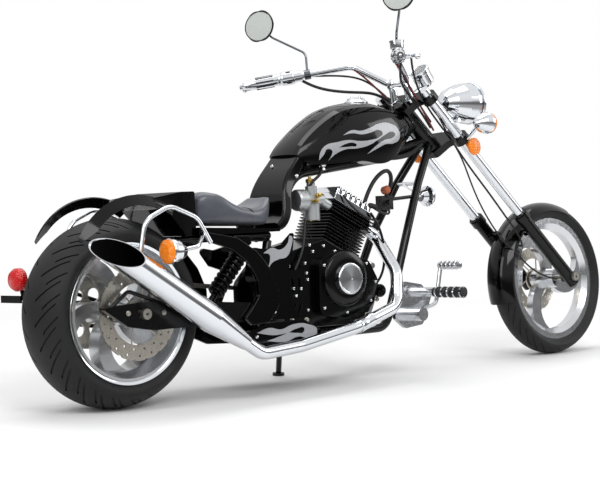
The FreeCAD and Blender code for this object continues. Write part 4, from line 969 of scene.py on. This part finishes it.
class CHOPPER_OT_grips(bpy.types.Operator):
    """Chromed bullet grips with rubber inlays, and the black switch blocks beside them"""
    bl_idname = "chopper.grips"
    bl_label = "Grips and switches"

    def execute(self, context):
        ends = [(on_side(BAR_END, side), on_side(BAR_END - BAR_BEND, side).normalized())
                for side, _ in SIDES]
        grips, switches = ([facing(end - out * inboard, out) for end, out in ends]
                           for inboard in (GRIP_LENGTH, SWITCH_INBOARD))
        bullet = [(11.5, 0), (19, 0), (21, 3), (21, 8), (19.5, 10), (20.5, 40), (20, 72), (18, 100),
                  (14.5, 122), (9.5, 137), (4, 142), (0, 143)]
        obj = stamped("grip_bullets", lathe("bullet", bullet, 40), grips)
        settle(obj, "steering", "chrome")
        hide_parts("grips")
        strip = rounded_box("strip", (4.5, 3.4, 62), (0, 20, 54), 1.2)
        strips = [grip @ turned_by(45 * n) for grip in grips for n in range(8)]
        settle(stamped("grip_inlays", strip, strips), "steering", "soft_rubber")
        block = rounded_box("switch", (38, 42, 20), edge=5, segments=3)
        settle(stamped("switch_blocks", block, switches), "steering", "black_plastic")
        return {"FINISHED"}


# ---------------- fasteners
def hex_bolt(size):
    """Flanged hexagon head; size is half its width across the corners."""
    head = begin("cylinder", "bolt", vertices=6, radius=size, depth=size * 0.8,
                 location=(0, 0, size * 0.6))
    modify(head, "BEVEL", width=size * 0.12, segments=2)
    flange = lathe("flange", [(0, 0), (size * 1.3, 0), (size * 1.3, size * 0.12),
                              (size * 0.95, size * 0.3), (0, size * 0.3)], 20)
    return smooth(joined("bolt", [flange, head]), 30)


def cap_screw(size):
    """Domed socket head."""
    return lathe("screw", [(0, 0), (size, 0), (size, size * 0.45), (size * 0.75, size * 0.85),
                           (size * 0.45, size * 0.92), (size * 0.4, size * 0.4), (0, size * 0.35)], 18)


def on_face(across, *spots):
    """Places on a flat side of the machine, from (ahead, up) pairs."""
    return [(ahead, across, up) for ahead, up in spots]


TO_RIGHT, TO_LEFT, UP = (0, -1, 0), (0, 1, 0), (0, 0, 1)
# name, slot, head, size, way it faces, places in mm
FASTENERS = (
    ("clutch_screws", "chrome", cap_screw, 5.5, TO_RIGHT,
     on_face(-COVER_FACE, (746, 250), (752, 388), (804, 412), (936, 384), (974, 322), (950, 262),
             (843, 230))),
    ("generator_screws", "polished_alloy", cap_screw, 5.5, TO_LEFT,
     on_face(COVER_FACE, (578, 252), (578, 332), (652, 402), (790, 406), (914, 404), (952, 300),
             (926, 232), (780, 224), (652, 220))),
    ("case_bolts", "axle_steel", hex_bolt, 6.5, TO_RIGHT,
     on_face(-CASE_FACE, (628, 220), (622, 392), (690, 216), (952, 214), (1000, 262))),
    ("case_screws", "chrome", cap_screw, 5.5, TO_RIGHT,
     on_face(-CASE_FACE, (714, 455), (774, 450), (822, 430), (692, 398), (727, 434), (697, 366),
             (701, 345), (640, 320), (671, 318), (649, 296), (697, 247))),
    ("pivot_nuts_right", "chrome", hex_bolt, 11.0, TO_RIGHT, on_face(-PIVOT_FACE, (480, 262))),
    ("pivot_nuts_left", "chrome", hex_bolt, 11.0, TO_LEFT, on_face(PIVOT_FACE, (480, 262))),
    ("adjusters_right", "axle_steel", hex_bolt, 6.0, TO_RIGHT, on_face(-ARM_FACE, (70, 286), (-58, 292))),
    ("adjusters_left", "axle_steel", hex_bolt, 6.0, TO_LEFT, on_face(ARM_FACE, (70, 286), (-58, 292))),
    ("tank_screws", "chrome", cap_screw, 5.0, UP,
     ((1012, 0, 937), (1048, 0, 937), (1030, 18, 937), (1030, -18, 937))),
    ("neck_screw", "chrome", cap_screw, 6.5, (-0.74, 0, 0.68), ((673, 24, 713),)),
    ("neck_screw_right", "chrome", cap_screw, 6.5, TO_RIGHT, on_face(-NECK_FACE, (689, 678))),
    ("neck_screw_left", "chrome", cap_screw, 6.5, TO_LEFT, on_face(NECK_FACE, (689, 678))),
    ("belly_screws", "chrome", cap_screw, 6.0, TO_RIGHT, on_face(-BELLY_FACE, (430, 184), (664, 160))),
)
# name, body, axle, distance across from the wheel's middle, radius of the ring, size
WHEEL_BOLTS = (("rear_disc_bolts", "rear_wheel", REAR_AXLE, -138.6, 32, 5.0),
               ("front_disc_bolts", "front_wheel", FRONT_AXLE, 64.6, 32, 5.0),
               ("sprocket_bolts", "rear_wheel", REAR_AXLE, 139.2, 34, 6.0))
BOLTS_IN_A_RING = 5


class CHOPPER_OT_fasteners(bpy.types.Operator):
    """Screws, nuts and bolts, each kind drawn once and stamped"""
    bl_idname = "chopper.fasteners"
    bl_label = "Fasteners"

    def execute(self, context):
        for name, slot, head, size, way, places in FASTENERS:
            obj = stamped(name, head(size), [facing(at, way) for at in places])
            settle(obj, "chassis", slot)
        for name, body, axle, across, ring, size in WHEEL_BOLTS:
            turns = [2 * math.pi * n / BOLTS_IN_A_RING for n in range(BOLTS_IN_A_RING)]
            spots = [facing(axle + Vector((ring * math.cos(a), across, ring * math.sin(a))),
                            TO_LEFT if across > 0 else TO_RIGHT) for a in turns]
            settle(stamped(name, cap_screw(size), spots), body, "axle_steel")
        return {"FINISHED"}


# ---------------- hoses, cables, leads
# name, radius, points in mm
CHASSIS_LINES = (
    ("breather_hose", 7.0,
     ((990, -58, 572), (1012, -68, 640), (1070, -70, 690), (1130, -52, 690), (1146, -36, 640),
      (1120, -30, 600))),
    ("plug_lead", 4.0,
     ((1104, -46, 576), (1090, -84, 548), (1058, -104, 534), (1010, -100, 556), (985, -88, 578))),
    ("fuel_hose", 5.0,
     ((812, -50, 722), (806, -70, 690), (772, -84, 672), (748, -74, 654), (750, -66, 640))),
    ("vent_hose", 4.0,
     ((722, -70, 540), (704, -84, 500), (690, -98, 462), (668, -104, 420), (640, -104, 380))),
    ("harness", 9.0,
     ((1100, -8, 734), (1150, -26, 730), (1220, -32, 734), (1270, -26, 750), (1310, -18, 776))),
    ("lifter_cable", 3.6,
     ((884, -78, 612), (906, -90, 574), (950, -94, 540), (1004, -90, 522), (1040, -76, 520))),
    ("oil_line", 4.5,
     ((1000, -70, 300), (1040, -88, 330), (1052, -92, 420), (1040, -84, 500), (1000, -80, 548))),
)
FORK_LINES = (
    ("throttle_cable", 3.2,
     ((1012, -234, 1030), (1072, -170, 1030), (1124, -110, 1030), (1180, -80, 1000), (1250, -56, 930),
      (1340, -40, 850))),
    ("clutch_cable", 3.4,
     ((1034, 250, 1042), (1080, 190, 1038), (1130, 122, 1030), (1190, 80, 1000), (1260, 60, 930),
      (1340, 44, 850))),
    ("switch_lead", 5.0,
     ((1004, 232, 1024), (1030, 200, 996), (1080, 150, 976), (1140, 100, 968), (1200, 62, 962),
      (1270, 50, 914), (1340, 38, 840))),
    ("starter_lead", 4.2,
     ((1006, -232, 1022), (1052, -180, 986), (1120, -120, 972), (1200, -66, 950), (1270, -50, 900),
      (1340, -36, 830))),
    ("front_brake_hose", 3.6,
     ((1034, -254, 1042), (1096, -196, 1018), (1190, -120, 962), (1310, -66, 880), (1420, -46, 800),
      (1500, -56, 690), (1580, -66, 600), (1660, -74, 500), (1760, -72, 400), (1850, 40, 372),
      (1880, 66, 350))),
    ("speedometer_cable", 3.0,
     ((1366, 0, 978), (1390, -12, 900), (1450, -34, 780), (1486, -40, 725), (1518, -40, 643),
      (1560, -40, 554), (1629, -44, 455), (1687, -50, 399), (1743, -56, 357), (1788, -60, 311),
      (1886, -56, 276), (1934, -56, 270))),
)
RED_CABLE = ((1122, 96, 1046), (1172, 84, 1012), (1230, 66, 950), (1290, 52, 890), (1350, 40, 820))


class CHOPPER_OT_lines(bpy.types.Operator):
    """Control cables, hoses, the plug lead and the wiring sleeve"""
    bl_idname = "chopper.lines"
    bl_label = "Cables and hoses"

    def execute(self, context):
        for body, lines in (("chassis", CHASSIS_LINES), ("steering", FORK_LINES)):
            for name, radius, points in lines:
                settle(tube(name, points, radius), body,
                       "frame_paint" if name == "oil_line" else "soft_rubber")
        sleeve = red_sleeve()
        for side, word in reversed(SIDES):
            run = [(x, side * y, z) for x, y, z in RED_CABLE]
            settle(tube("red_cable_" + word, run, 3.4), "steering", "soft_rubber", sleeve)
        return {"FINISHED"}


# ---------------- engine and exhaust
# name, slot, place in mm, way it faces, outline as (radius, height)
FITTINGS = (
    ("carb_top_cap", "axle_steel", (755, -62, 656), UP,
     ((0, 0), (13, 0), (13.5, 8), (11, 12), (5, 13), (4, 22), (0, 22))),
    ("idle_screw", "axle_steel", (748, -82, 596), TO_RIGHT,
     ((0, 0), (5, 0), (5, 14), (7, 15), (7, 21), (0, 22))),
    ("choke_plunger", "axle_steel", (772, -80, 612), (-0.3, -1, 0.2),
     ((0, 0), (8, 0), (8, 10), (5, 12), (5, 24), (0, 25))),
    ("fuel_tap", "polished_alloy", (812, -62, 716), (0, -0.3, -1),
     ((0, 0), (12, 0), (12, 8), (8, 12), (8, 22), (5, 24), (0, 26))),
    ("relay", "black_plastic", (1098, -42, 620), (0, -1, 0.2),
     ((0, 0), (12, 0), (14, 3), (14, 22), (10, 26), (0, 27))),
    ("plug_cap", "soft_rubber", (990, -84, 574), (0.6, -0.7, -0.2),
     ((0, 0), (8, 0), (9, 10), (7, 26), (5, 30), (0, 31))),
    ("oil_filter_cap", "engine_black", (1010, -93, 290), TO_RIGHT,
     ((0, 0), (22, 0), (22, 10), (18, 16), (6, 17), (0, 17))))
CARB_BOWL, BOWL_SCREW_OUT = (755, -62, 534), 18
FOOTPEG, PEG_BANDS = Vector((1168, 0, 276)), (213, 241, 269, 297, 327)
PIPE_CLAMP, PIPE_RUN = (850, -194, 197), (0.96, 0.11, 0.25)
# ahead, up and the turn in degrees
CASE_RIBS = ((640, 250, 20), (640, 330, 0), (640, 400, -14), (664, 250, 20), (668, 330, 0), (668, 404, -14))


class CHOPPER_OT_engine(bpy.types.Operator):
    """Carburettor fittings, relay, plug cap, cover ribs, the pipe's clamp and the pegs' bands"""
    bl_idname = "chopper.engine"
    bl_label = "Engine details"

    def execute(self, context):
        brassy = brass()
        own = {"axle_steel": brassy, "black_plastic": resin()}
        for name, slot, at, way, rows in FITTINGS:
            settle(lathe(name, rows, 24), "chassis", slot, own.get(slot), facing(at, way))
        x, y, z = CARB_BOWL
        spots = [facing((x + dx, y + dy, z), (0, 0, -1)) for dx in (-BOWL_SCREW_OUT, BOWL_SCREW_OUT)
                 for dy in (-BOWL_SCREW_OUT, BOWL_SCREW_OUT)]
        settle(stamped("bowl_screws", cap_screw(3.2), spots), "chassis", "axle_steel", brassy)
        collar = [(20.4, -34), (23.4, -34), (23.4, -25), (22, -23), (22, 23), (23.4, 25), (23.4, 34),
                  (20.4, 34)]
        settle(lathe("pipe_clamp", collar, 40, closed=True), "chassis", "chrome",
               at=facing(PIPE_CLAMP, PIPE_RUN))
        band = [(17, -3), (18.8, -3), (18.8, 3), (17, 3)]
        spots = [facing(FOOTPEG + Vector((0, side * out, 0)), (0, side, 0)) for side in (RIGHT, LEFT)
                 for out in PEG_BANDS]
        settle(stamped("peg_bands", lathe("band", band, 32, closed=True), spots), "chassis", "chrome")
        rib = rounded_box("rib", (3, 5, 46), edge=1.2)
        spots = [Matrix.Translation((ahead, -94, up)) @ turned_by(degrees, "Y")
                 for ahead, up, degrees in CASE_RIBS]
        settle(stamped("case_ribs", rib, spots), "chassis", "engine_black")
        return {"FINISHED"}


def dark_bore_lining():
    """Matt black lining inside the silencer's bore, with no shine, which darkens the bore."""
    return surface("dark bore lining", "#040404", rough=0.9, grain=2, spread=0.05, specular_ior_level=0.05)


RIM_LIP_OUT = 92
# mm along the silencer to the liner's foot, the slash cut and the end, the bore's radius, the cut's turn
LINER_FROM, SLASH_AT, LINER_TO, BORE, SLASH_TURN = 376, 542, 640, 40.4, math.radians(20)


class CHOPPER_OT_liners(bpy.types.Operator):
    """Polished lips of the rear rim and the matt black liner that darkens the silencer's bore"""
    bl_idname = "chopper.liners"
    bl_label = "Rim lips and silencer liner"

    def execute(self, context):
        lip = [(200, 0), (203, 1.5), (210, 2), (213, 4.5), (211, 7), (203, 5), (200, 3)]
        for side, word in SIDES:
            at = facing(REAR_AXLE + Vector((0, side * RIM_LIP_OUT, 0)), (0, side, 0))
            settle(lathe("rim_lip_" + word, lip, 96, closed=True), "rear_wheel", "polished_alloy",
                   finish_of("chrome"), at)
        rows = [(0, LINER_FROM), (BORE, LINER_FROM), (BORE, LINER_TO)]
        liner = lathe("silencer_liner", rows, 48)
        liner.data.transform(facing(SILENCER_START, SILENCER_RUN))
        outward = Vector((SILENCER_RUN.z * math.sin(SLASH_TURN), -math.cos(SLASH_TURN),
                          -SILENCER_RUN.x * math.sin(SLASH_TURN)))
        pick(liner)
        bpy.ops.mesh.bisect(plane_co=SILENCER_START + SILENCER_RUN * SLASH_AT,
                            plane_no=SILENCER_RUN * 0.5 + outward * math.sin(math.pi / 3),
                            clear_outer=True)
        close_edit()
        # the matt black liner makes the inside of the silencer's mouth dark
        settle(liner, "chassis", "engine_black", dark_bore_lining())
        return {"FINISHED"}


# ---------------- what a user sets, and the panel
def colour_setting(name, description, code):
    """A colour that a user can change, with its default as an sRGB hex value."""
    return bpy.props.FloatVectorProperty(name=name, description=description, subtype="COLOR", min=0.0,
                                         max=1.0, default=linear(code)[:3])


class ChopperStage(bpy.types.PropertyGroup):
    """Where the camera stands and how it looks"""
    camera_at: bpy.props.FloatVectorProperty(
        name="Camera", description="Where the camera stands", subtype="XYZ", unit="LENGTH",
        default=(-4.1156, -4.5884, 0.898))
    camera_yaw: bpy.props.FloatProperty(
        name="Yaw", description="Way the camera looks, to the left of the machine's own way ahead",
        subtype="ANGLE", default=math.radians(49.225))
    camera_pitch: bpy.props.FloatProperty(
        name="Pitch", description="How far the camera looks up", subtype="ANGLE",
        default=math.radians(-3.051))
    focal_length: bpy.props.FloatProperty(
        name="Focal length", description="Lens for a 36 mm sensor", unit="CAMERA", default=110.56)
    camera_shift: bpy.props.FloatVectorProperty(
        name="Shift", description="Picture shift of the lens", size=2, default=(-0.0094, -0.0720))


class ChopperPaint(bpy.types.PropertyGroup):
    """Colours of the paint and of the saddle"""
    lacquer: colour_setting("Lacquer", "Colour of the painted panels", "#030303")
    flames: colour_setting("Flames", "Colour of the flame licks", "#a3a5a9")
    seat: colour_setting("Seat", "Colour of the saddle's cover", "#4b4e57")


class ChopperSaddle(bpy.types.PropertyGroup):
    """How round and how full the saddle is"""
    rounding: bpy.props.IntProperty(
        name="Rounding", description="Smoothing passes over the foam", default=40, min=0, max=200)
    corner: bpy.props.FloatProperty(
        name="Corner", description="Rounding of the foam's corners, in mm", default=46.0, min=1.0)
    pressure: bpy.props.FloatProperty(
        name="Pressure", description="How hard the foam fills its cover", default=4.0, min=0.0)
    travel: bpy.props.FloatProperty(
        name="Travel", description="Most that the cover moves, in mm", default=3.0, min=0.0)
    settling: bpy.props.IntProperty(
        name="Settling", description="Smoothing passes over the swollen cover", default=30, min=0)


class ChopperTyres(bpy.types.PropertyGroup):
    """How the tread's grooves run"""
    sweep: bpy.props.FloatProperty(
        name="Sweep", description="How far a groove runs round the tyre", subtype="ANGLE", default=0.34)
    groove_depth: bpy.props.FloatProperty(
        name="Groove depth", description="Tread depth, in mm", default=4.5)
    groove_lip: bpy.props.FloatProperty(
        name="Groove lip", description="How far a groove is drawn in from its cell, in mm", default=1.7)


class CHOPPER_PT_panel(bpy.types.Panel):
    """Lists the pieces in the order in which they are made, then what a user sets"""
    bl_idname = "CHOPPER_PT_panel"
    bl_label = "Chopper"
    bl_space_type = "VIEW_3D"
    bl_region_type = "UI"
    bl_category = "Chopper"

    def draw(self, context):
        for step in STEPS:
            self.layout.operator(step.bl_idname)
        for name, group in GROUPS.items():
            for setting in group.__annotations__:
                self.layout.prop(getattr(context.scene, name), setting)


STEPS = (CHOPPER_OT_stage, CHOPPER_OT_finishes, CHOPPER_OT_panels, CHOPPER_OT_saddle,
         CHOPPER_OT_tyres, CHOPPER_OT_flames, CHOPPER_OT_lamps, CHOPPER_OT_grips,
         CHOPPER_OT_fasteners, CHOPPER_OT_lines, CHOPPER_OT_engine, CHOPPER_OT_liners)
GROUPS = {"chopper_stage": ChopperStage, "chopper_paint": ChopperPaint, "chopper_saddle": ChopperSaddle,
          "chopper_tyres": ChopperTyres}
CLASSES = (*GROUPS.values(), *STEPS, CHOPPER_PT_panel)


def register():
    for cls in CLASSES:
        bpy.utils.register_class(cls)
    for name, group in GROUPS.items():
        setattr(bpy.types.Scene, name, bpy.props.PointerProperty(type=group))


def unregister():
    for name in GROUPS:
        delattr(bpy.types.Scene, name)
    for cls in reversed(CLASSES):
        bpy.utils.unregister_class(cls)


def main():
    register()
    for step in STEPS:
        group, name = step.bl_idname.split(".")
        getattr(getattr(bpy.ops, group), name)()


if __name__ == "__main__":
    main()
